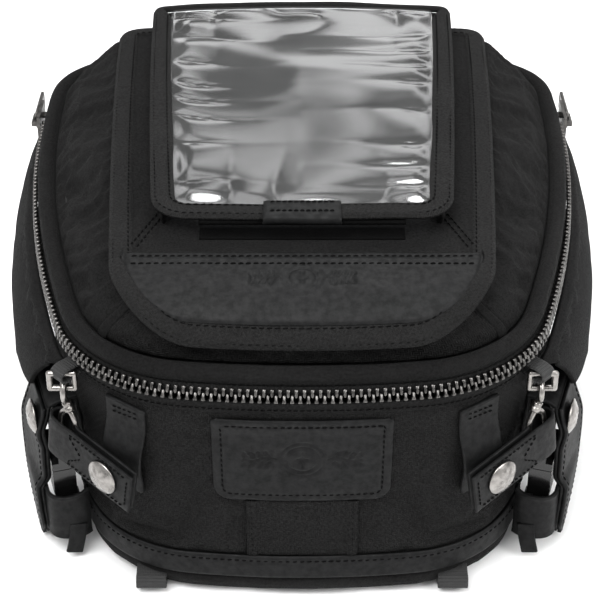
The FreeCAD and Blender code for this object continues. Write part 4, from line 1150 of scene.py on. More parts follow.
def zip_row(name, sign, offset, body, node):
    """One row of metal teeth; sign 1 has its tips upwards."""
    end = ZIP_PLAN.find(1, ZIP_END_Y + 5.0, 0.0, 0.4)
    ts = ZIP_PLAN.spread(end, 1 - end, TOOTH_PITCH / 2)[offset::2]
    xy, normals = ZIP_PLAN.at(ts)
    outline = tooth_shape()
    layers = [(-1.2, 0.80), (-0.9, 1.0), (0.8, 1.0), (1.15, 0.78)]
    n = len(outline)
    middle = outline.mean(axis=0)
    chunks = []
    for point, normal in zip(xy, normals):
        tilt = math.radians(4.0 + 28.0 * max(-normal[1], 0.0) ** 1.5)
        out = np.array([normal[0] * math.cos(tilt), normal[1] * math.cos(tilt), math.sin(tilt)])
        ahead = np.array([-normal[1], normal[0], 0.0])
        up = np.cross(out, ahead) * -1.0
        up = up if up[2] > 0 else -up
        centre = lift(point, ZIP_Z) + np.array([normal[0], normal[1], 0.0]) * 0.4
        verts = []
        for depth, size in layers:
            shape = middle + (outline - middle) * size
            for along, reach in shape:
                verts.append(centre + out * (depth + 0.3) + ahead * along + up * sign * (reach - 3.0))
        faces = [tuple(reversed(range(n))), tuple(range(3 * n, 4 * n))]
        for k in range(3):
            for i in range(n):
                faces.append((k * n + i, k * n + (i + 1) % n, (k + 1) * n + (i + 1) % n, (k + 1) * n + i))
        chunks.append((verts, faces))
    piece = join_meshes(name, chunks, GUNMETAL)
    fix_normals(piece)
    return finish(piece, body, [node])


def fix_normals(piece):
    work = bmesh.new()
    work.from_mesh(piece.data)
    bmesh.ops.recalc_face_normals(work, faces=work.faces)
    work.to_mesh(piece.data)
    work.free()


def zip_tapes():
    """Woven tapes behind the teeth; past the chain's ends they reach the hinge strip."""
    start = T_FAR_RIGHT + 0.002
    ts = ZIP_PLAN.spread(start, 1 - start, 3.0)
    low = ring_grid(ts, [(3.4, WALL_TOP + 1.0), (2.2, 113.5), (1.6, 116.0), (1.0, 118.6), (0.2, 119.6)])
    finish(slab("zip_tape_lower", low, 1.0, TAPE, flip=True), "shell", ["body_zip_tape"])
    high = ring_grid(ts, [(0.9, 124.4), (1.6, 125.4), (2.4, 127.2), (3.2, 129.2), (4.0, LID_Z)])
    finish(slab("zip_tape_upper", high, 1.0, TAPE, flip=True), "lid", ["lid_zip_tape"])
    lower = lift(ZIP_PLAN.inset(1.7 - 0.25).at(ts)[0], 115.2)
    stitches("zip_stitching_lower", [(lower, lift(ZIP_PLAN.at(ts)[1], 0.0))], "shell", 2.8, 2.0, 0.26)
    upper = lift(ZIP_PLAN.inset(2.4).at(ts)[0], 128.2)
    stitches("zip_stitching_upper", [(upper, lift(ZIP_PLAN.at(ts)[1], 0.25))], "lid", 2.8, 2.0, 0.26)


def hinge_strip():
    """Fabric at the far end, where the real bag bends as the lid opens; here it is baked in place on no body."""
    ts = ZIP_PLAN.spread(1 - T_FAR_RIGHT, 1 + T_FAR_RIGHT, 4.0)
    profile = [(3.0, FABRIC_TOP - 2.0), (1.6, 115.0), (1.2, 118.0), (1.1, 121.0), (1.4, 124.0), (2.0, 127.5),
               (3.0, LID_Z)]
    grid = creased(ring_grid(ts, profile), 0.3, 20.0, 6.0)
    piece = slab("hinge_fabric", grid, 1.4, SMOOTH_CLOTH, flip=True)
    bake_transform(piece)
    label(piece, ["lid_hinge_strip"])


# ------------------------------------------------------------------ lid

LID_LEVELS = np.array([
    # level, half-width, near y, far y, near corner radius, far corner radius
    (134.0, 125.4, -138.2, 140.0, 55.0, 45.0),
    (143.5, 118.0, -135.0, 139.0, 49.0, 38.0),
    (151.5, 107.0, -128.0, 137.5, 41.0, 28.0),
    (158.0, 94.0, -112.0, 136.0, 33.0, 16.0),
])
LID_CURVES = [np.polyfit(LID_LEVELS[:, 0], LID_LEVELS[:, k], 3) for k in range(1, 6)]
DART_SHIFT = 0.008
STRIP_HALF_T = 0.0036
LID_LOW = LID_LEVELS[0, 0]
LID_HIGH = LID_LEVELS[-1, 0]


def lid_plan(z):
    half_width, near_y, far_y, near_corner, far_corner = (float(np.polyval(c, z)) for c in LID_CURVES)
    return Plan(half_width, 81.0, 600.0, near_y, 420.0, far_y, 700.0, near_corner, far_corner,
                ZIP_PLAN.shares)


def lid_grid(ts, rows):
    """Padded wall of the lid from the rim to just under the flap, with a short turned-in top edge."""
    levels = np.linspace(0, 1, rows)
    plans = [lid_plan(z) for z in np.linspace(LID_LOW, LID_HIGH, 40)]
    outlines = np.stack([plan.at(ts)[0] for plan in plans], axis=1)
    zs = np.linspace(LID_LOW, LID_HIGH, 40)
    grid = np.zeros((len(ts), rows + 2, 3))
    for i in range(len(ts)):
        top = min(LID_HIGH, float(top_z(outlines[i, -1, 1:2])[0]) - 0.6)
        path = np.concatenate([outlines[i], zs[:, None]], axis=1)
        path = path[zs <= top + 1e-6]
        lengths = np.concatenate([[0], np.cumsum(np.linalg.norm(np.diff(path, axis=0), axis=1))])
        at = levels * lengths[-1]
        grid[i, :rows] = np.stack([np.interp(at, lengths, path[:, k]) for k in range(3)], axis=1)
    inner = lid_plan(LID_HIGH)
    for k, inset in enumerate((5.0, 10.0)):
        xy = inner.inset(inset).at(ts)[0]
        grid[:, rows + k] = lift(xy, top_z(xy[:, 1]) - 0.9)
    return grid


def lid_wall(name, t0, t1, material, nodes, seed, pressure):
    """One padded panel of the lid, swollen between its seams."""
    ts = ZIP_PLAN.spread(t0, t1, 4.0)
    grid = lid_grid(ts, 12)
    mask = edge_mask(len(ts), grid.shape[1])
    mask[:, -3:] = True
    puffed = relaxed(grid, mask, pressure=pressure, slack=0.03, cap=5.0)
    puffed = creased(refined(puffed), 0.45, 30.0, seed, 5)
    return finish(slab(name, puffed, 3.6, material, flip=True), "lid", nodes)


def lid_walls():
    dart = ZIP_PLAN.corner_t(False) - DART_SHIFT
    far = ZIP_PLAN.corner_t(True)
    lid_wall("lid_near_wall_cloth", dart, 1 - dart, BALLISTIC, ["lid_near_wall"], 11.0,
             2.0)
    lid_wall("lid_side_right", far, dart, SMOOTH_CLOTH, (), 12.0, 2.6)
    lid_wall("lid_side_left", 1 - dart, 1 - far, SMOOTH_CLOTH, ["lid_side_walls"], 13.0, 2.6)
    lid_wall("lid_far_wall", 1 - far, 1 + far, SMOOTH_CLOTH, (), 14.0, 2.0)
    rows = []
    for t in (dart, 1 - dart, far, 1 - far):
        for shift in (-0.0048, 0.0048):
            grid = lid_grid(np.array([t + shift - 0.001, t + shift, t + shift + 0.001]), 14)
            normals = grid_normals(grid, True)[1]
            rows.append((grid[1, :-2] + normals[:-2] * 0.35, normals[:-2]))
    stitches("lid_seam_stitching", rows, "lid")


def lid_corner_strips():
    """Seam tape over each near corner's join, from the flap down to the rim."""
    dart = ZIP_PLAN.corner_t(False) - DART_SHIFT
    across = np.linspace(-1, 1, 13)
    rise = 0.9 + 0.5 * (1 - across ** 4)
    for name, centre in (("lid_corner_strip_right", dart), ("lid_corner_strip_left", 1 - dart)):
        grid = lid_grid(centre + across * STRIP_HALF_T, 16)[:, :-2]
        grid = grid + grid_normals(grid, True) * rise[:, None, None]
        grid = creased(grid, 0.35, 9.0, 16.0, 2, True)
        piece = slab(name, grid, 1.2, SMOOTH_CLOTH, flip=True)
        finish(piece, "lid")


def lid_rim():
    """Rolled fabric rim with piping between the zip and the lid's walls."""
    ts = np.linspace(0, 1, 401)[:-1]
    profile = [(2.4, 127.6), (1.9, 129.3), (1.3, 131.2), (1.2, 133.0), (2.2, 134.9), (4.2, 136.0),
               (6.4, 135.6), (8.0, 134.2), (9.0, 132.4), (10.5, 131.8), (12.5, 132.2)]
    grid = creased(ring_grid(ts, profile), 0.22, 16.0, 15.0, 2)
    finish(slab("lid_rim_fabric", grid, 1.3, SMOOTH_CLOTH, flip=True, closed=True), "lid", ["lid_rim"])


def pocket_floor():
    """Quilted panel between the main compartment and the top pocket."""
    plan = lid_plan(LID_LOW).inset(4.6)
    xy = plan.fill(4.0)
    quilt = np.abs(np.sin(xy[..., 0] / 22.0 * math.pi) * np.sin(xy[..., 1] / 22.0 * math.pi)) ** 0.5
    grid = lift(xy, 136.2 + 0.9 * quilt)
    finish(slab("pocket_floor_pad", grid, 3.0 + 0.9 * quilt, LINING), "lid", ["pocket_floor"])


# ------------------------------------------------------------------ flap

def ring_profile(width, thickness, edge=1.6, groove_at=None):
    """Rows across a bound edge: distance in from the edge and height."""
    rows = [0.0, 0.35, 0.9, 1.8, 3.0, 4.5, width - 4.5, width - 3.0, width - 1.8, width - 0.9, width - 0.3,
            width]
    heights = []
    for w in rows:
        h = thickness * (1 - 0.5 * (1 - smooth(min(w, width - w) / edge)))
        if groove_at is not None:
            h -= 0.25 * math.exp(-((w - groove_at) / 0.6) ** 2)
        heights.append(float(h))
    return np.array(rows), np.array(heights)


def closed_ts(plan, step):
    return plan.spread(0.0, 1.0, step)[:-1]


def flap():
    ts = closed_ts(FLAP_PLAN, 2.5)
    widths, heights = ring_profile(BINDING_W, 4.2, 1.6, BINDING_W - 2.4)
    waves = 0.35 * wobble(lift(FLAP_PLAN.at(ts)[0], 0.0), 22.0, 21.0)
    grid = top_ring(FLAP_PLAN, ts, widths, heights[None] + waves[:, None])
    thickness = np.broadcast_to(heights + 0.2, grid.shape[:2])
    binding = slab("flap_edge_binding", grid, thickness, TWILL, flip=True, closed=True)
    finish(binding, "flap", ["flap_binding"])
    inner = top_ring(FLAP_PLAN, ts, [BINDING_W - 2.4], 4.15)[:, 0]
    outer = top_ring(FLAP_PLAN, ts, [1.9], 3.75)[:, 0]
    ups = top_normal(inner[:, 1])
    stitches("flap_edge_stitching", [(inner, ups), (outer, top_normal(outer[:, 1]))], "flap")
    panel = FLAP_PLAN.inset(7.0).fill(3.5)
    soft = 0.35 * wobble(lift(panel, 0.0), 40.0, 22.0)
    cloth = slab("flap_cloth", on_top(panel, FLAP_T + soft), FLAP_T - 0.3, SMOOTH_CLOTH)
    finish(cloth, "flap", ["flap_panel"])


MITRE = ((61.0, -62.0), (74.0, -94.0))
PATCH_TOP_Y = -98.5


def flap_seams():
    """Double-stitched mitre seams from the window's corners to the leather patch."""
    rows = []
    for side in (-1, 1):
        (x0, y0), (x1, y1) = MITRE
        ahead = np.array([x1 - x0, y1 - y0]) / math.hypot(x1 - x0, y1 - y0)
        for shift in (-1.5, 1.5):
            s = np.linspace(0, 1, 30)[:, None]
            line = np.array([x0, y0]) + (np.array([x1, y1]) - np.array([x0, y0])) * s
            line = line + np.array([ahead[1], -ahead[0]]) * shift
            line[:, 0] *= side
            rows.append((on_top(line, FLAP_T + 0.45), top_normal(line[:, 1])))
    stitches("flap_mitre_stitching", rows, "flap")


def flap_patch():
    """Leather patch across the flap's near end, its top edge straight, with a pressed ornament."""
    low_plan = FLAP_PLAN.inset(6.6)
    near = low_plan.near_y
    ys = np.concatenate([[0, 0.25, 0.7, 1.3], np.arange(2.0, PATCH_TOP_Y - near - 2.0, 0.8),
                         (PATCH_TOP_Y - near) - np.array([1.8, 1.2, 0.7, 0.3, 0.0])]) + near
    dense = low_plan.at(np.linspace(low_plan.corner_t(True), 0.5, 900))[0]
    order = np.argsort(dense[:, 1])
    front = low_plan.at(np.linspace(0.5 - 0.14, 0.5 + 0.14, 400))[0]
    u = np.concatenate([[-1, -0.995, -0.985, -0.97], np.linspace(-0.95, 0.95, 161), [0.97, 0.985, 0.995, 1]])
    total = len(ys)
    grid = np.zeros((len(u), total, 3))
    half_top = float(np.interp(PATCH_TOP_Y, dense[order, 1], dense[order, 0]))
    for i, a in enumerate(u):
        x = a * half_top
        lower = float(np.interp(x, front[::-1, 0], front[::-1, 1])) if front[0, 0] > front[-1, 0] else float(
            np.interp(x, front[:, 0], front[:, 1]))
        y = lower + (ys - near) / (PATCH_TOP_Y - near) * (PATCH_TOP_Y - lower)
        width_at_y = np.interp(y, dense[order, 1], dense[order, 0])
        edge = np.minimum(np.minimum(width_at_y - np.abs(np.full_like(y, x)), y - lower), PATCH_TOP_Y - y)
        edge = np.maximum(edge, 0.0)
        rise = FLAP_T + 0.3 + rounded_out(edge, 1.5, 1.2)
        mark = emblem(np.full_like(y, x) * 1.15, (y - (near + PATCH_TOP_Y) / 2 - 1.0) * 1.15)
        rise = rise - 1.0 * mark * (edge > 4)
        rise = rise + 0.7 * np.exp(-((PATCH_TOP_Y - y - 5.8) / 1.6) ** 2)
        rise = rise + 0.25 * wobble(np.stack([np.full_like(y, x), y, y * 0], axis=-1), 20.0, 23.0)
        grid[i] = on_top(np.stack([np.full_like(y, x), y], axis=-1), rise)
    finish(slab("flap_leather", grid, 1.7, LEATHER), "flap", ["flap_patch"])
    rows = []
    for drop in (3.2, 8.4):
        x = np.linspace(-half_top + 1.5, half_top - 1.5, 80)
        line = np.stack([x, np.full_like(x, PATCH_TOP_Y - drop)], axis=-1)
        rows.append((on_top(line, FLAP_T + 2.0), top_normal(line[:, 1])))
    stitches("flap_patch_stitching", rows, "flap")


def closure_strips():
    """Hook and loop strips of the pocket and of the window."""
    near_x = np.linspace(-40.0, 40.0, 41)
    front = FLAP_PLAN.at(np.linspace(0.36, 0.64, 500))[0][::-1]
    edge_y = np.interp(near_x, front[:, 0], front[:, 1])
    v = np.linspace(5.0, 12.0, 6)
    xy = np.stack([np.broadcast_to(near_x[:, None], (41, 6)), edge_y[:, None] + v[None]], axis=-1)
    hook = slab("flap_hook_strip", on_top(xy, -0.3), 1.3, FUZZ)
    finish(hook, "flap", ["flap_closure_strips"])
    x = np.linspace(-45.0, 45.0, 91)
    y = np.linspace(-87.0, -78.5, 8)
    xy = np.stack(np.meshgrid(x, y, indexing="ij"), axis=-1)
    loop = slab("window_loop_strip", on_top(xy, FLAP_T + 0.75), 0.8, FUZZ)
    finish(loop, "flap", ())
    ragged = 0.35 * np.abs(np.sin(x * math.pi / 1.6))
    under = xy.copy()
    under[:, 0, 1] -= ragged
    under[:, -1, 1] += ragged
    hook = slab("window_hook_tape", on_top(under, WINDOW_RISE - 0.2), 1.8, FUZZ)
    finish(hook, "window", ["window_hook_strip"])
    ts = np.linspace(near_t(40.0), near_t(-40.0), 41)
    rows = []
    for z in np.linspace(146.2, 152.0, 6):
        xy, outward = lid_plan(z).at(ts)
        rows.append(lift(xy + outward * 1.9, z))
    rows = np.stack(rows, axis=1)
    finish(slab("pocket_loop_tape", rows, 1.3, FUZZ, flip=True), "lid", ["pocket_loop_strip"])


# ------------------------------------------------------------------ window

WINDOW_RISE = 13.0
FAR_BINDING_SHARE = 0.36
WINDOW_T = 3.0
VINYL_RELIEF = 1.2


def window():
    ts = closed_ts(WINDOW_PLAN, 2.2)
    width = BINDING_W
    profile, heights = ring_profile(width, WINDOW_T, 1.6, width - 2.6)
    t_far = WINDOW_PLAN.corner_t(True)
    from_far = np.minimum(ts, 1 - ts)
    share = FAR_BINDING_SHARE + (1 - FAR_BINDING_SHARE) * smooth((from_far - t_far + 0.004) / 0.02)
    waves = 0.9 * wobble(lift(WINDOW_PLAN.at(ts)[0], 0.0), 34.0, 31.0)
    rise = WINDOW_RISE + heights[None] + waves[:, None]
    grid = top_ring(WINDOW_PLAN, ts, profile[None] * share[:, None], rise)
    thickness = np.broadcast_to(heights, grid.shape[:2])
    finish(slab("window_edge_binding", grid, thickness, TWILL, flip=True, closed=True), "window",
           ["window_binding"])
    rows = []
    for offset, drop in ((width - 2.6, 0.0), (2.0, 0.2)):
        line = top_ring(WINDOW_PLAN, ts, share[:, None] * offset, WINDOW_RISE + WINDOW_T - drop)[:, 0]
        side = share > 0.9
        start = int(np.argmax(~side & np.roll(side, -1)))
        order = np.roll(np.arange(len(ts)), -start - 1)[:int(side.sum())]
        rows.append((line[order], top_normal(line[order, 1])))
    stitches("window_stitching", rows, "window")
    inner = WINDOW_PLAN.inset(width - 1.5)
    plan = Plan(inner.half_width, TAPER_Y, inner.side_r, inner.near_y, inner.near_r, WINDOW_PLAN.far_y - 2.6,
                inner.far_r, 8.0, 5.0)
    pane = plan.fill(2.0)
    rise = WINDOW_RISE + 1.6 + vinyl_puckers(plan, pane)
    finish(slab("window_pane", on_top(pane, rise), 0.6, VINYL), "window", ["clear_window"])


def vinyl_puckers(plan, pane):
    """Heights of the vinyl: sewn-in pillows along its edges and broad soft waves in the middle."""
    x = pane[..., 0]
    y = pane[..., 1]
    flat = lift(pane, 0.0)
    drift = wobble(flat, 45.0, 38.0)
    side_reach = plan.half_width - (TAPER_Y - y) ** 2 / (2 * plan.side_r) - np.abs(x)
    height = np.zeros_like(x)
    for distance, run, pitch, amount, reach, seed in (
            (side_reach, y + 40.0 * np.sign(x), 23.0, 2.0, 17.0, 1.0),
            (y - plan.near_y, x, 31.0, 1.7, 15.0, 2.0),
            (plan.far_y - y, x, 38.0, 2.2, 19.0, 3.0)):
        phase = run / pitch + 0.35 * drift + 0.3 * np.sin(run / 19.0 + seed)
        pillow = np.sqrt(np.abs(np.sin(math.pi * phase))) - 0.55
        height += amount * pillow * np.exp(-np.maximum(distance, 0.0) / reach) * smooth(distance / 5.0)
    u = np.minimum(np.arange(pane.shape[0]), np.arange(pane.shape[0])[::-1])[:, None] / 6
    v = np.minimum(np.arange(pane.shape[1]), np.arange(pane.shape[1])[::-1])[None] / 6
    fade = smooth(np.minimum(np.minimum(u, 1), np.minimum(v, 1)))
    waves = 2.0 * wobble(flat * np.array([1.0, 0.6, 1.0]), 52.0, 33.0)
    return VINYL_RELIEF * (height + waves) * fade


def window_gusset():
    """Pleated fabric wall between the flap and the window frame."""
    plan = WINDOW_PLAN.inset(4.2)
    ts = plan.spread(plan.corner_t(False) - 0.01, 0.0, 2.5)
    ts = np.concatenate([1 - ts, ts[::-1]])
    ts = np.where(ts < 0.5, ts + 1.0, ts)
    ts = np.unique(np.round(ts, 6))
    heights = np.linspace(FLAP_T + 0.2, WINDOW_RISE + 0.3, 9)
    pleat = 0.7 * np.sin(np.linspace(0, 2 * math.pi, 9))
    rows = []
    for h, p in zip(heights, pleat):
        xy, n = plan.at(ts)
        rows.append(on_top(xy + n * p, h))
    grid = creased(np.stack(rows, axis=1), 0.4, 12.0, 36.0, 2)
    piece = slab("window_gusset_cloth", grid, 1.0, SMOOTH_CLOTH, flip=True)
    finish(piece, "flap", ["window_gusset"])


def pull_tab():
    """Leather tab folded over the window's near edge."""
    half_w = box_mm("window_pull_tab")[1][0]
    near = WINDOW_PLAN.near_y
    x = np.concatenate([[-half_w, -half_w + 0.3, -half_w + 0.9], np.linspace(-half_w + 2, half_w - 2, 31),
                        [half_w - 0.9, half_w - 0.3, half_w]])
    rise = WINDOW_RISE + WINDOW_T
    path = [(BINDING_W + 0.5, 0.1), (BINDING_W, 0.9), (8.0, 1.4), (4.0, 1.4), (1.0, 1.2), (-1.3, 0.2),
            (-1.9, -1.2), (-1.6, -2.8), (0.4, -3.9), (4.0, -4.0)]
    path = bezier([(0.0, near + y, rise + r) for y, r in path], 37)
    edge = half_w - np.abs(x)
    soft = -0.5 * (1 - smooth(edge / 1.0))
    grid = np.zeros((len(x), len(path), 3))
    for j, (_, y, r) in enumerate(path):
        waves = 0.25 * wobble(np.stack([x, np.full_like(x, y), x * 0], axis=-1), 12.0, 37.0)
        grid[:, j] = on_top(np.stack([x, np.full_like(x, y)], axis=-1), r + soft + waves)
    finish(slab("pull_tab_leather", grid, 1.1, LEATHER, flip=True), "window", ["window_pull_tab"])
    rows = []
    for y in (near + 2.2, near + BINDING_W - 2.0):
        xs = np.linspace(-half_w + 1.5, half_w - 1.5, 30)
        line = np.stack([xs, np.full_like(xs, y)], axis=-1)
        rows.append((on_top(line, rise + 1.65), top_normal(line[:, 1])))
    stitches("pull_tab_stitching", rows, "window", 2.6, 1.9)


# ------------------------------------------------------------------ wings

WING_PROFILE = [(-1.0, 113.0), (-4.2, 110.4), (-7.0, 107.8), (-9.8, 104.0), (-12.8, 98.0), (-14.7, 92.5),
                (-16.0, 87.0), (-16.7, 79.0), (-16.8, 70.0)]
WING_T = 2.2


def wing():
    """Fabric wing that hangs over the left side, with a bound hem and a cut-away near corner."""
    profile = bezier([(i, z, 0.0) for i, z in WING_PROFILE], 30)
    share = np.linspace(0, 1, 52)
    columns = []
    for inset, z, _ in profile:
        plan = ZIP_PLAN.inset(inset)
        near_y = np.interp(inset, [-15.0, -3.0], [-93.5, -108.5])
        t0 = plan.find(1, near_y, 0.5, 0.8)
        t1 = plan.find(1, 106.0, 0.5, 1.0)
        columns.append(lift(plan.at(t0 + (t1 - t0) * share)[0], z))
    full = np.stack(columns, axis=1)
    ts = share
    lengths = np.concatenate([[0], np.cumsum(np.linalg.norm(np.diff(full[0], axis=0), axis=1))])
    ys = full[:, -1, 1]
    low = np.interp(ys, [-100.0, -93.0, -35.0, -20.0], [90.5, 89.5, 71.5, 70.0])
    rows = 18
    grid = np.zeros((len(ts), rows, 3))
    for i in range(len(ts)):
        end = float(np.interp(-low[i], -full[i, :, 2], lengths))
        at = np.linspace(0, end, rows)
        grid[i] = np.stack([np.interp(at, lengths, full[i, :, k]) for k in range(3)], axis=1)
    mask = np.zeros(grid.shape[:2], bool)
    mask[:, :3] = True
    mask[0, :6] = True
    draped = relaxed(grid, mask, pressure=0.35, gravity=0.35, slack=0.025, cap=3.0, stiffness=20.0)
    draped = creased(refined(draped), 0.55, 38.0, 41.0, 4)
    piece = slab("wing_cloth", draped, WING_T, SMOOTH_CLOTH, flip=True)
    pair(piece, "wing", "wing", blend=((-136.0, 0.0, 112.5), (-141.0, 0.0, 106.0)))
    normals = grid_normals(draped, True)
    hem = -4
    hems = [(draped[2:-2, hem] + normals[2:-2, hem] * 0.3, normals[2:-2, hem]),
            (draped[3, 3:-3] + normals[3, 3:-3] * 0.3, normals[3, 3:-3]),
            (draped[-4, 3:-3] + normals[-4, 3:-3] * 0.3, normals[-4, 3:-3])]
    rows = loose_stitches("wing_stitching", hems)
    pair(rows, "wing")


# ------------------------------------------------------------------ near corner fittings, left side

TETHER_PIVOT = np.array([-109.5, -113.0, 77.0])
TETHER_TIP = np.array([-72.5, -144.5, 68.5])
TETHER_W = 22.0
TETHER_T = 3.5
TETHER_LIFT = 1.7
CONCHO_AT = 33.0
CONCHO_SCALE = 8.3 / 7.5
EYE_MARGIN = 2.0
EYE_APEX = 5.0
EYE_DEPTH = 9.5
ALONG = unit(TETHER_TIP - TETHER_PIVOT)
OUTWARD = unit(np.cross(ALONG, np.array([0.0, 0.0, 1.0])))
ACROSS = np.cross(OUTWARD, ALONG)
TETHER_L = float(np.linalg.norm(TETHER_TIP - TETHER_PIVOT))


def on_tether(out, along, across):
    out, along, across = (np.asarray(v, float)[..., None] for v in (out, along, across))
    return TETHER_PIVOT + OUTWARD * out + ALONG * along + ACROSS * across


def near_wall_point(x, z):
    points, normals = wall_line([near_t(x)], [z])
    return points[0], normals[0]


def keeper():
    """Leather loop sewn to the wall at both ends, bowed out under the tether."""
    x = -74.0
    lean = math.radians(7.0)
    base, outward = near_wall_point(x, 82.0)
    levels = [(60.0, 0.9), (63.0, 1.1), (67.0, 1.8), (74.0, 3.7), (80.0, 4.1), (86.0, 3.5), (96.0, 1.4),
              (103.0, 1.0), (111.0, 0.8)]
    path = []
    for z, bow in levels:
        there, _ = near_wall_point(x, z)
        offset = float(np.dot(there - base, outward))
        path.append([base[0] + outward[0] * (bow + offset), base[1] + outward[1] * (bow + offset), z])
    path = bezier(path, 48)
    side = np.cross(outward, np.array([0.0, 0.0, 1.0]))
    drop = path[:, 2] - 105.0
    path = path + side[None] * (drop * math.sin(lean) * np.sign(side[0]))[:, None]
    normals = np.repeat(outward[None], len(path), axis=0)
    piece = sweep("keeper_strap", path, normals, strap_section(20.0, 1.9, 0.15), LEATHER)
    pair(piece, "shell", "keeper_loops", shared=True)
    rows = []
    across = np.linspace(-8.0, 8.0, 10)
    for z in (108.0, 104.0, 62.0):
        k = int(np.argmin(np.abs(path[:, 2] - z)))
        line = path[k] + side[None] * across[:, None] + outward * 2.15
        rows.append((line, np.repeat(outward[None], len(across), axis=0)))
    pair(loose_stitches("keeper_stitching", rows, 2.6, 1.9), "shell")


def tether():
    """Leather strap folded back on itself round the hook's eye and sewn."""
    outer = TETHER_LIFT + TETHER_T - 1.7
    inner = TETHER_LIFT
    r = 3.4
    path = [(outer, TETHER_L), (outer, TETHER_L - 1.0)]
    path += [(outer, a) for a in np.linspace(TETHER_L - 4, 9.0, 16)]
    path += [(outer + 0.25, 6.0), (r + 0.35, 3.0)]
    path += [(r * math.cos(a), -r * math.sin(a)) for a in np.linspace(0, math.pi, 13)]
    path += [(-r + 0.1, 1.0), (-1.6, 4.5), (0.6, 8.0), (inner - 0.1, 11.5)]
    path += [(inner, a) for a in np.linspace(14.0, TETHER_L - 1.0, 14)]
    path = np.array(path)
    points = on_tether(path[:, 0], path[:, 1], np.zeros(len(path)))
    tangents = unit(np.gradient(points, axis=0))
    normals = np.cross(ACROSS, tangents)
    if np.dot(normals[4], OUTWARD) < 0:
        normals = -normals
    piece = sweep("tether_leather", points, normals, strap_section(TETHER_W, 1.6, 0.1), LEATHER)
    pair(piece, "tether", "tether_strap")
    face = outer + 1.75
    half = TETHER_W / 2 - 2.0
    along = np.linspace(9.0, TETHER_L - 2.5, 30)
    rows = []
    outs = np.repeat(OUTWARD[None], 30, axis=0)
    for edge in (-half, half):
        rows.append((on_tether(np.full(30, face), along, np.full(30, edge)), outs))
    across = np.linspace(-half, half, 9)
    rows.append((on_tether(np.full(9, face), np.full(9, TETHER_L - 2.5), across), outs[:9]))
    for side in (-1, 1):
        s = np.linspace(0, 1, 9)
        rows.append((on_tether(np.full(9, face), 9.5 + 10.0 * s, side * half * (1 - s)), outs[:9]))
    pair(loose_stitches("tether_stitching", rows, 2.5, 1.8), "tether")


def concho(name, foot, outward, along, body, node):
    """Domed snap cap with a rolled rim and a pressed generic rosette."""
    across = np.cross(outward, along)
    rings = [(0.0, 3.7), (0.8, 3.68), (1.6, 3.6), (2.4, 3.5), (3.2, 3.35), (4.0, 3.15), (4.8, 2.9),
             (5.5, 2.6), (6.1, 2.15), (6.6, 1.7), (7.0, 1.45), (7.35, 1.2), (7.5, 0.8), (7.35, 0.35), (7.0, 0.05)]
    sides = 72
    turn = np.linspace(0, 2 * math.pi, sides, endpoint=False)
    verts = []
    for radius, height in rings:
        petals = 0.28 * np.cos(turn * 8) * math.exp(-((radius - 3.4) / 1.1) ** 2)
        ridge = 0.22 * math.exp(-((radius - 5.4) / 0.35) ** 2)
        for a, p in zip(turn, petals):
            lift_by = height + p - ridge
            verts.append(foot + outward * lift_by + (along * math.cos(a) + across * math.sin(a)) * radius
                         * CONCHO_SCALE)
    faces = []
    for i in range(1, len(rings) - 1):
        for k in range(sides):
            a = i * sides + k
            b = i * sides + (k + 1) % sides
            faces.append((a, b, b + sides, a + sides))
    tip = len(verts)
    verts.append(foot + outward * 3.72)
    for k in range(sides):
        faces.append((tip, sides + (k + 1) % sides, sides + k))
    faces.append(tuple((len(rings) - 1) * sides + k for k in range(sides)))
    used = sides
    verts = verts[used:]
    faces = [tuple(v - used for v in face) for face in faces]
    piece = make_mesh(name, np.array(verts), faces, SILVER)
    fix_normals(piece)
    pair(piece, body, node)


def wire_path(points, corner_r):
    """Closed path through corner points, with its corners rounded."""
    points = [np.array(p, float) for p in points]
    n = len(points)
    path = []
    for i, p in enumerate(points):
        before = points[i - 1]
        after = points[(i + 1) % n]
        a = unit(before - p)
        b = unit(after - p)
        reach = min(corner_r, np.linalg.norm(before - p) * 0.45, np.linalg.norm(after - p) * 0.45)
        for s in np.linspace(0, 1, 9):
            path.append((1 - s) ** 2 * (p + a * reach) + 2 * s * (1 - s) * p + s ** 2 * (p + b * reach))
    return np.array(path)


def snap_hook():
    """Wire eye round the fold, swivel collar, shank and round hook."""
    half = TETHER_W / 2 + EYE_MARGIN
    d = EYE_DEPTH
    apex = on_tether(0, d / 2, half + EYE_APEX)
    eye = [on_tether(0, 0, -half), on_tether(0, d, -half), on_tether(0, d, half - 1.0), apex,
           on_tether(0, 0, half - 1.0)]
    loop = wire_path(eye, 3.2)
    outs = np.repeat(OUTWARD[None], len(loop), axis=0)
    piece = sweep("hook_eye", loop, outs, round_section(1.35, 14), SILVER, True)
    pair(piece, "hook", "snap_hook")
    crook = CROOK
    foot = crook + np.array([0.0, -1.0, -5.0])
    ahead = unit(foot - apex)
    collar_path = np.array([apex + ahead * s for s in (-1.6, -1.2, 0.0, 1.2, 1.6, 2.2, 3.4, 3.6)])
    radii = [1.6, 2.4, 2.7, 2.4, 1.9, 2.3, 2.3, 1.6]
    piece = lathe("hook_collar", collar_path, radii, SILVER)
    pair(piece, "hook", None)
    r = 5.2
    turns = np.linspace(math.radians(-100.0), math.radians(-315.0), 30)
    arc = [crook + np.array([0.0, r * math.cos(a), r * math.sin(a)]) for a in turns]
    path = np.array([apex + ahead * s for s in (1.5, 3.5)] + [foot * 0.6 + apex * 0.4] + arc)
    path = bezier(path, 80)
    normals = np.repeat(np.array([[1.0, 0.0, 0.0]]), len(path), axis=0)
    piece = sweep("hook_bend", path, normals, round_section(1.4, 14), SILVER)
    pair(piece, "hook", None)


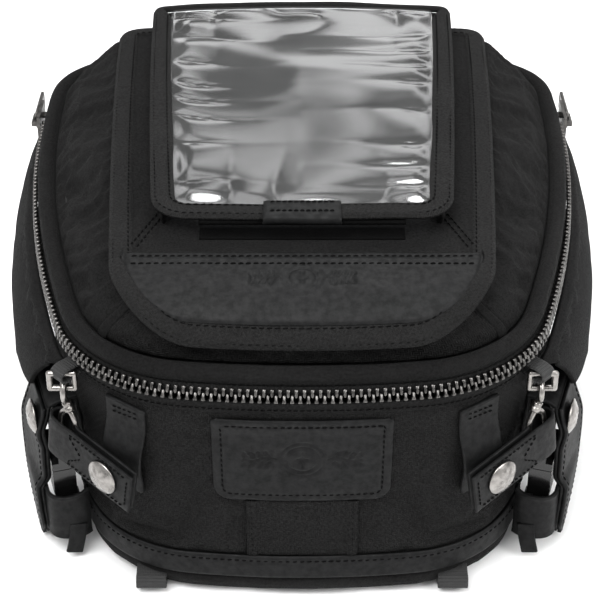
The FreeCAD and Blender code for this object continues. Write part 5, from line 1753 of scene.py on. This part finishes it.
def lathe(name, path, radii, material, sides=20):
    """Turned shape along a straight path."""
    ahead = unit(path[-1] - path[0])
    side = unit(np.cross(ahead, np.array([0.3, 0.5, 0.81])))
    other = np.cross(ahead, side)
    turn = np.linspace(0, 2 * math.pi, sides, endpoint=False)
    verts = [p + (side * math.cos(a) + other * math.sin(a)) * r for p, r in zip(path, radii) for a in turn]
    faces = []
    n = len(path)
    for i in range(n - 1):
        for k in range(sides):
            a = i * sides + k
            b = i * sides + (k + 1) % sides
            faces.append((a, b, b + sides, a + sides))
    faces.append(tuple(reversed(range(sides))))
    faces.append(tuple((n - 1) * sides + k for k in range(sides)))
    piece = make_mesh(name, np.array(verts), faces, material)
    fix_normals(piece)
    return piece


CROOK = np.array([-105.076, -116.044, 103.4])
RING_TOP_Z = 113.0


def ring_webbing():
    """Short webbing folded round the ring's upper bar and sewn in under the zip."""
    y = CROOK[1] - 1.6
    x = CROOK[0] - 0.5
    inward = unit(np.array([1.0, 1.0, 0.0]))
    path = [(13.0, 1.6), (8.0, 2.4), (3.5, 2.6), (0.6, 2.45), (-1.9, 1.4), (-2.3, -0.4), (-1.5, -1.8),
            (0.2, -2.3), (3.0, -1.8), (7.0, -0.6), (12.0, 0.4)]
    points = bezier([np.array([x, y, RING_TOP_Z]) + inward * a + np.array([0, 0, h]) for a, h in path], 44)
    side = unit(np.cross(inward, np.array([0.0, 0.0, 1.0])))
    tangents = unit(np.gradient(points, axis=0))
    normals = unit(np.cross(tangents, side))
    if normals[4][2] < 0:
        normals = -normals
    piece = sweep("ring_webbing", points, normals, strap_section(8.0, 1.1), WEBBING)
    pair(piece, "shell", "sewn_webbing", shared=True)


# ------------------------------------------------------------------ side strap, ear and buckle, left side

FITTING_Y = -92.0
CORNER_PLAN = ZIP_PLAN.inset(7.0)


def corner_frame():
    slope = (FITTING_Y - CORNER_PLAN.widest_y) / CORNER_PLAN.side_r
    x = CORNER_PLAN.half_width - CORNER_PLAN.side_r + math.sqrt(
        CORNER_PLAN.side_r ** 2 - (FITTING_Y - CORNER_PLAN.widest_y) ** 2)
    origin = np.array([-x, FITTING_Y, 0.0])
    outward = np.array([-math.sqrt(1 - slope * slope), slope, 0.0])
    along = np.cross(np.array([0.0, 0.0, 1.0]), outward)
    return origin, outward, along


ORIGIN, CORNER_OUT, CORNER_ALONG = corner_frame()


def at_corner(out, along, z):
    out, along, z = (np.asarray(v, float)[..., None] for v in (out, along, z))
    return ORIGIN + CORNER_OUT * out + CORNER_ALONG * along + np.array([0.0, 0.0, 1.0]) * z


STRAP_OUT = 20.0
STRAP_Y = (-24.0, 8.0)
STRAP_TOP = 82.5
STRAP_BOW = 1.6
STRAP_TURN = 4.0
STRAP_LEAN = 5.0


def strap_out(z):
    """How far out the strap's back lies: bowed in the middle and drawn in towards the hanger."""
    bow = STRAP_BOW * np.sin((z - 2.0) / (STRAP_TOP - 2.0) * math.pi) ** 1.2
    return STRAP_OUT + bow - STRAP_LEAN * smooth((z - 60.0) / (STRAP_TOP - 60.0))


def strap_turn(z, across, half):
    """How far the strap's near edge is turned in towards the buckle, between the ear and the hanger."""
    share = smooth((z - 36.0) / 7.0) * (1 - smooth((z - 58.0) / 14.0))
    return STRAP_TURN * share * (half + across) / (2 * half)


def side_strap():
    """Two sewn leather layers that hang in front of the buckle, narrowing at the lower end."""
    middle = sum(STRAP_Y) / 2
    half = (STRAP_Y[1] - STRAP_Y[0]) / 2
    zs = np.concatenate([[2.0, 2.3, 3.0], np.linspace(4.5, STRAP_TOP - 2.0, 50),
                         [STRAP_TOP - 0.7, STRAP_TOP - 0.1]])
    u = np.concatenate([[-1, -0.985, -0.95], np.linspace(-0.9, 0.9, 21), [0.95, 0.985, 1]])
    width = half - 8.0 * (1 - smooth((zs - 1.0) / 14.0))
    backs = strap_out(zs)
    for layer, (high, shrink) in enumerate(((4.0, 0.0), (1.9, 0.5))):
        grid = np.zeros((len(u), len(zs), 3))
        for j, z in enumerate(zs):
            across = u * (width[j] - shrink)
            edge = np.minimum(np.minimum(width[j] - shrink - np.abs(across), z - 2.0), STRAP_TOP - z)
            top = high - 0.5 * (1 - smooth(edge / 1.1)) - 0.25 * np.exp(-((edge - 3.0) / 0.6) ** 2)
            level = np.full_like(across, z)
            ripple = 0.25 * wobble(np.stack([across, level, across * 0], axis=-1), 22.0, 51.0 + layer)
            out = backs[j] + top + ripple * (layer == 0) - strap_turn(z, across, half)
            grid[:, j] = at_corner(out, middle + across, level)
        piece = slab("side_strap_layer%d" % (layer + 1), grid, 1.75, LEATHER)
        pair(piece, "strap", "side_strap" if layer == 0 else None)
    rows = []
    inset = 3.0
    z = np.linspace(6.0, STRAP_TOP - 3.0, 40)
    w = half - 8.0 * (1 - smooth((z - 1.0) / 14.0)) - inset
    out = strap_out(z) + 3.75
    outs = np.repeat(CORNER_OUT[None], 40, axis=0)
    for side in (-1, 1):
        rows.append((at_corner(out - strap_turn(z, side * w, half), middle + side * w, z), outs))
    across = np.linspace(-w[0], w[0], 10)
    rows.append((at_corner(np.full(10, out[0]), middle + across, np.full(10, 5.2)), outs[:10]))
    pair(loose_stitches("side_strap_stitching", rows), "strap")
    drop = 9.5
    foot = at_corner(float(strap_out(STRAP_TOP - drop)) + 3.9, STRAP_Y[1] - 9.0, STRAP_TOP - drop)
    concho("side_snap_cap", foot, CORNER_OUT, CORNER_ALONG, "strap", "side_concho")


def leather_on_edge(name, path, z0, z1, dip, thickness, seed):
    """Leather strip on edge that follows a path of (out, along) in the corner frame."""
    path = bezier([(a, b, 0.0) for a, b in path], 60)
    s = np.linspace(0, 1, len(path))
    rows = np.concatenate([[0, 0.03, 0.08], np.linspace(0.16, 0.84, 9), [0.92, 0.97, 1]])
    grid = np.zeros((len(path), len(rows), 3))
    for j, v in enumerate(rows):
        top = z1 - dip * np.sin(s * math.pi)
        grid[:, j] = at_corner(path[:, 0], path[:, 1], z0 + (top - z0) * v)
    normals = grid_normals(grid)
    edge = np.minimum(rows, rows[::-1])[None]
    grid = grid + normals * (0.25 * wobble(grid, 14.0, seed) - 0.35 * (1 - smooth(edge / 0.08)))[..., None]
    return slab(name, grid, thickness, LEATHER)


def anchor_ear():
    """Leather ear from the band's end round the buckle, with a narrow tail."""
    path = [(2.9, 14.0), (6.0, 15.6), (10.5, 16.1), (15.6, 15.0), (18.7, 11.7), (19.3, 6.0), (19.3, -6.0)]
    wrap = leather_on_edge("anchor_ear_leather", path, 11.0, 38.0, 2.0, 2.0, 55.0)
    pair(wrap, "shell", "anchor_ears", shared=True)
    path = [(5.0, 16.9, 19.0), (5.6, 17.4, 14.0), (6.8, 17.9, 9.0), (8.2, 18.0, 3.5)]
    points = bezier([at_corner(o + 3.5, a, z) for o, a, z in path], 24)
    normals = np.repeat(CORNER_ALONG[None], len(points), axis=0)
    tail = sweep("anchor_ear_tail", points, normals, strap_section(8.0, 1.8, 0.1), LEATHER)
    pair(tail, "shell", None)


def side_hanger():
    """Leather arm under the wing that the side strap hangs from."""
    path = [(2.0, 85.0), (6.0, 84.4), (10.0, 83.4), (13.0, 82.4), (14.7, 80.8), (15.0, 76.5)]
    points = bezier([at_corner(o, sum(STRAP_Y) / 2, z) for o, z in path], 30)
    tangents = unit(np.gradient(points, axis=0))
    normals = unit(np.cross(CORNER_ALONG, tangents))
    if np.dot(normals[-1], CORNER_OUT) < 0:
        normals = -normals
    piece = sweep("strap_hanger", points, normals, strap_section(30.0, 1.9, 0.1), LEATHER)
    pair(piece, "shell", "side_hangers", shared=True)


BUCKLE_Y = -3.0


def buckle_webbing():
    """Upper webbing from the wall to the plug, and lower webbing from the socket to the base seam."""
    path = [(3.2, 78.0), (7.0, 77.8), (10.5, 77.0), (12.2, 74.8), (12.3, 67.5), (13.9, 60.6), (14.3, 57.6),
            (12.2, 55.2), (9.6, 56.2), (9.2, 59.4), (10.6, 67.0), (10.4, 73.5), (7.0, 76.0)]
    points = bezier([at_corner(o, BUCKLE_Y, z) for o, z in path], 80)
    tangents = unit(np.gradient(points, axis=0))
    normals = unit(np.cross(CORNER_ALONG, tangents))
    piece = sweep("upper_webbing", points, normals, strap_section(19.0, 1.1), WEBBING)
    pair(piece, "plug", "buckle_upper_webbing",
         blend=((-117.0, -96.0, 76.0), (-117.0, -96.0, 62.0)))
    path = [(2.9, 16.5), (7.0, 16.8), (10.5, 18.5), (11.9, 19.6), (12.1, 21.8), (13.7, 23.8), (13.7, 26.2),
            (11.6, 27.7), (9.5, 26.2), (9.3, 23.6), (9.9, 21.4), (9.9, 19.4)]
    points = bezier([at_corner(o + 0.3, BUCKLE_Y, z) for o, z in path], 60)
    tangents = unit(np.gradient(points, axis=0))
    normals = unit(np.cross(CORNER_ALONG, tangents))
    piece = sweep("lower_webbing", points, normals, strap_section(19.0, 1.1), WEBBING)
    pair(piece, "shell", None)


# ------------------------------------------------------------------ pieces kept from the frame

def paint(node, material, bevel=0.0):
    """Give a kept frame node its material, and soften its edges with a bevel."""
    piece = frame["nodes"][node]
    piece.data.materials.clear()
    piece.data.materials.append(material)
    if bevel:
        modifier = piece.modifiers.new("soft_edges", "BEVEL")
        modifier.width = bevel * MM
        modifier.segments = 2
        modifier.limit_method = "ANGLE"
        modifier.angle_limit = math.radians(40.0)


def kept_nodes():
    paint("nonslip_sheet", RUBBER)
    paint("base_board", BOARD)
    paint("d_rings", SILVER)
    paint("snap_studs", SILVER, 0.3)
    paint("buckle_sockets", GLOSS_BLACK, 0.7)
    for side, _ in SIDES:
        paint("hook_gate_" + side, SILVER)
        paint("buckle_plug_" + side, GLOSS_BLACK, 0.7)
        paint("zip_slider_" + side, GUNMETAL, 0.5)
        paint("slider_pull_" + side, GUNMETAL, 0.3)


# ------------------------------------------------------------------ stage

FLOOR_Z = -0.0006
CAMERA_TARGET = (-0.001, -0.060, 0.112)
CAMERA_ELEVATION = 35.0
CAMERA_DISTANCE = 0.815
LENS = 105.0
SENSOR_WIDTH = 36.0
LIGHT_TARGET = (0, 0, 0.09)


def stage():
    """Pale floor, soft lights and the camera, in metres."""
    size = 4.0
    mesh = bpy.data.meshes.new("floor")
    n = 24
    verts = [((i / n - 0.5) * size, (j / n - 0.5) * size, FLOOR_Z)
             for i in range(n + 1) for j in range(n + 1)]
    faces = [(i * (n + 1) + j, (i + 1) * (n + 1) + j, (i + 1) * (n + 1) + j + 1, i * (n + 1) + j + 1)
             for i in range(n) for j in range(n)]
    mesh.from_pydata(verts, [], faces)
    paper = Nodes("studio_paper")
    fine = paper.noise(60.0, 3.0)
    white = paper.ramp(fine, [(0.3, grey(0.80)), (0.7, grey(0.84))])
    mesh.materials.append(paper.set(Base_Color=white, Roughness=0.9))
    floor = bpy.data.objects.new("floor", mesh)
    bpy.context.scene.collection.objects.link(floor)
    bpy.context.scene.world = studio_world()
    bpy.context.scene.view_settings.view_transform = "Standard"
    soft_light("key", (-0.35, -0.55, 1.15), 0.9, 22.0)
    soft_light("fill", (0.75, -0.55, 0.75), 0.7, 10.0)
    soft_light("rim", (0.15, 0.75, 1.5), 0.7, 14.0)
    target = Vector(CAMERA_TARGET)
    elevation = math.radians(CAMERA_ELEVATION)
    data = bpy.data.cameras.new("view")
    data.lens = LENS
    data.sensor_width = SENSOR_WIDTH
    camera = bpy.data.objects.new("view", data)
    camera.location = target + Vector((0.0, -math.cos(elevation), math.sin(elevation))) * CAMERA_DISTANCE
    camera.rotation_euler = (target - camera.location).to_track_quat("-Z", "Y").to_euler()
    bpy.context.scene.collection.objects.link(camera)
    bpy.context.scene.camera = camera


def studio_world():
    """Even white light; shiny surfaces see it broken up into bright panels and dark gaps."""
    world = bpy.data.worlds.new("studio")
    world.use_nodes = True
    tree = world.node_tree
    even = tree.nodes["Background"]
    even.inputs["Color"].default_value = (1.0, 1.0, 1.0, 1.0)
    even.inputs["Strength"].default_value = 0.8
    place = tree.nodes.new("ShaderNodeTexCoord")
    panels = tree.nodes.new("ShaderNodeTexNoise")
    panels.inputs["Scale"].default_value = 4.5
    panels.inputs["Detail"].default_value = 1.0
    ramp = tree.nodes.new("ShaderNodeValToRGB")
    ramp.color_ramp.elements[0].position = 0.46
    ramp.color_ramp.elements[0].color = (0.03, 0.03, 0.03, 1.0)
    ramp.color_ramp.elements[1].position = 0.57
    broken = tree.nodes.new("ShaderNodeBackground")
    broken.inputs["Strength"].default_value = 1.7
    path = tree.nodes.new("ShaderNodeLightPath")
    mix = tree.nodes.new("ShaderNodeMixShader")
    tree.links.new(place.outputs["Generated"], panels.inputs["Vector"])
    tree.links.new(panels.outputs["Fac"], ramp.inputs["Fac"])
    tree.links.new(ramp.outputs["Color"], broken.inputs["Color"])
    tree.links.new(path.outputs["Is Glossy Ray"], mix.inputs[0])
    tree.links.new(even.outputs[0], mix.inputs[1])
    tree.links.new(broken.outputs[0], mix.inputs[2])
    tree.links.new(mix.outputs[0], tree.nodes["World Output"].inputs["Surface"])
    return world


def soft_light(name, place, size, power):
    data = bpy.data.lights.new(name, "AREA")
    data.shape = "DISK"
    data.size = size
    data.energy = power
    light = bpy.data.objects.new(name, data)
    light.location = place
    light.rotation_euler = (Vector(LIGHT_TARGET) - Vector(place)).to_track_quat("-Z", "Y").to_euler()
    bpy.context.scene.collection.objects.link(light)


def build():
    base_pad()
    body_walls()
    body_liner()
    leather_band()
    near_patch()
    centre_sleeve()
    corner_bindings()
    mount_straps()
    zip_tapes()
    zip_row("zip_teeth_lower", 1, 0, "shell", "body_zip_teeth")
    zip_row("zip_teeth_upper", -1, 1, "lid", "lid_zip_teeth")
    hinge_strip()
    lid_rim()
    lid_walls()
    lid_corner_strips()
    pocket_floor()
    flap()
    flap_seams()
    flap_patch()
    closure_strips()
    window()
    window_gusset()
    pull_tab()
    wing()
    keeper()
    tether()
    concho("tether_snap_cap", on_tether(TETHER_LIFT + TETHER_T, CONCHO_AT, 0.0), OUTWARD, ALONG, "tether",
           "tether_concho")
    snap_hook()
    ring_webbing()
    side_strap()
    anchor_ear()
    side_hanger()
    buckle_webbing()
    kept_nodes()
    stage()


build()
bpy.context.view_layer.update()
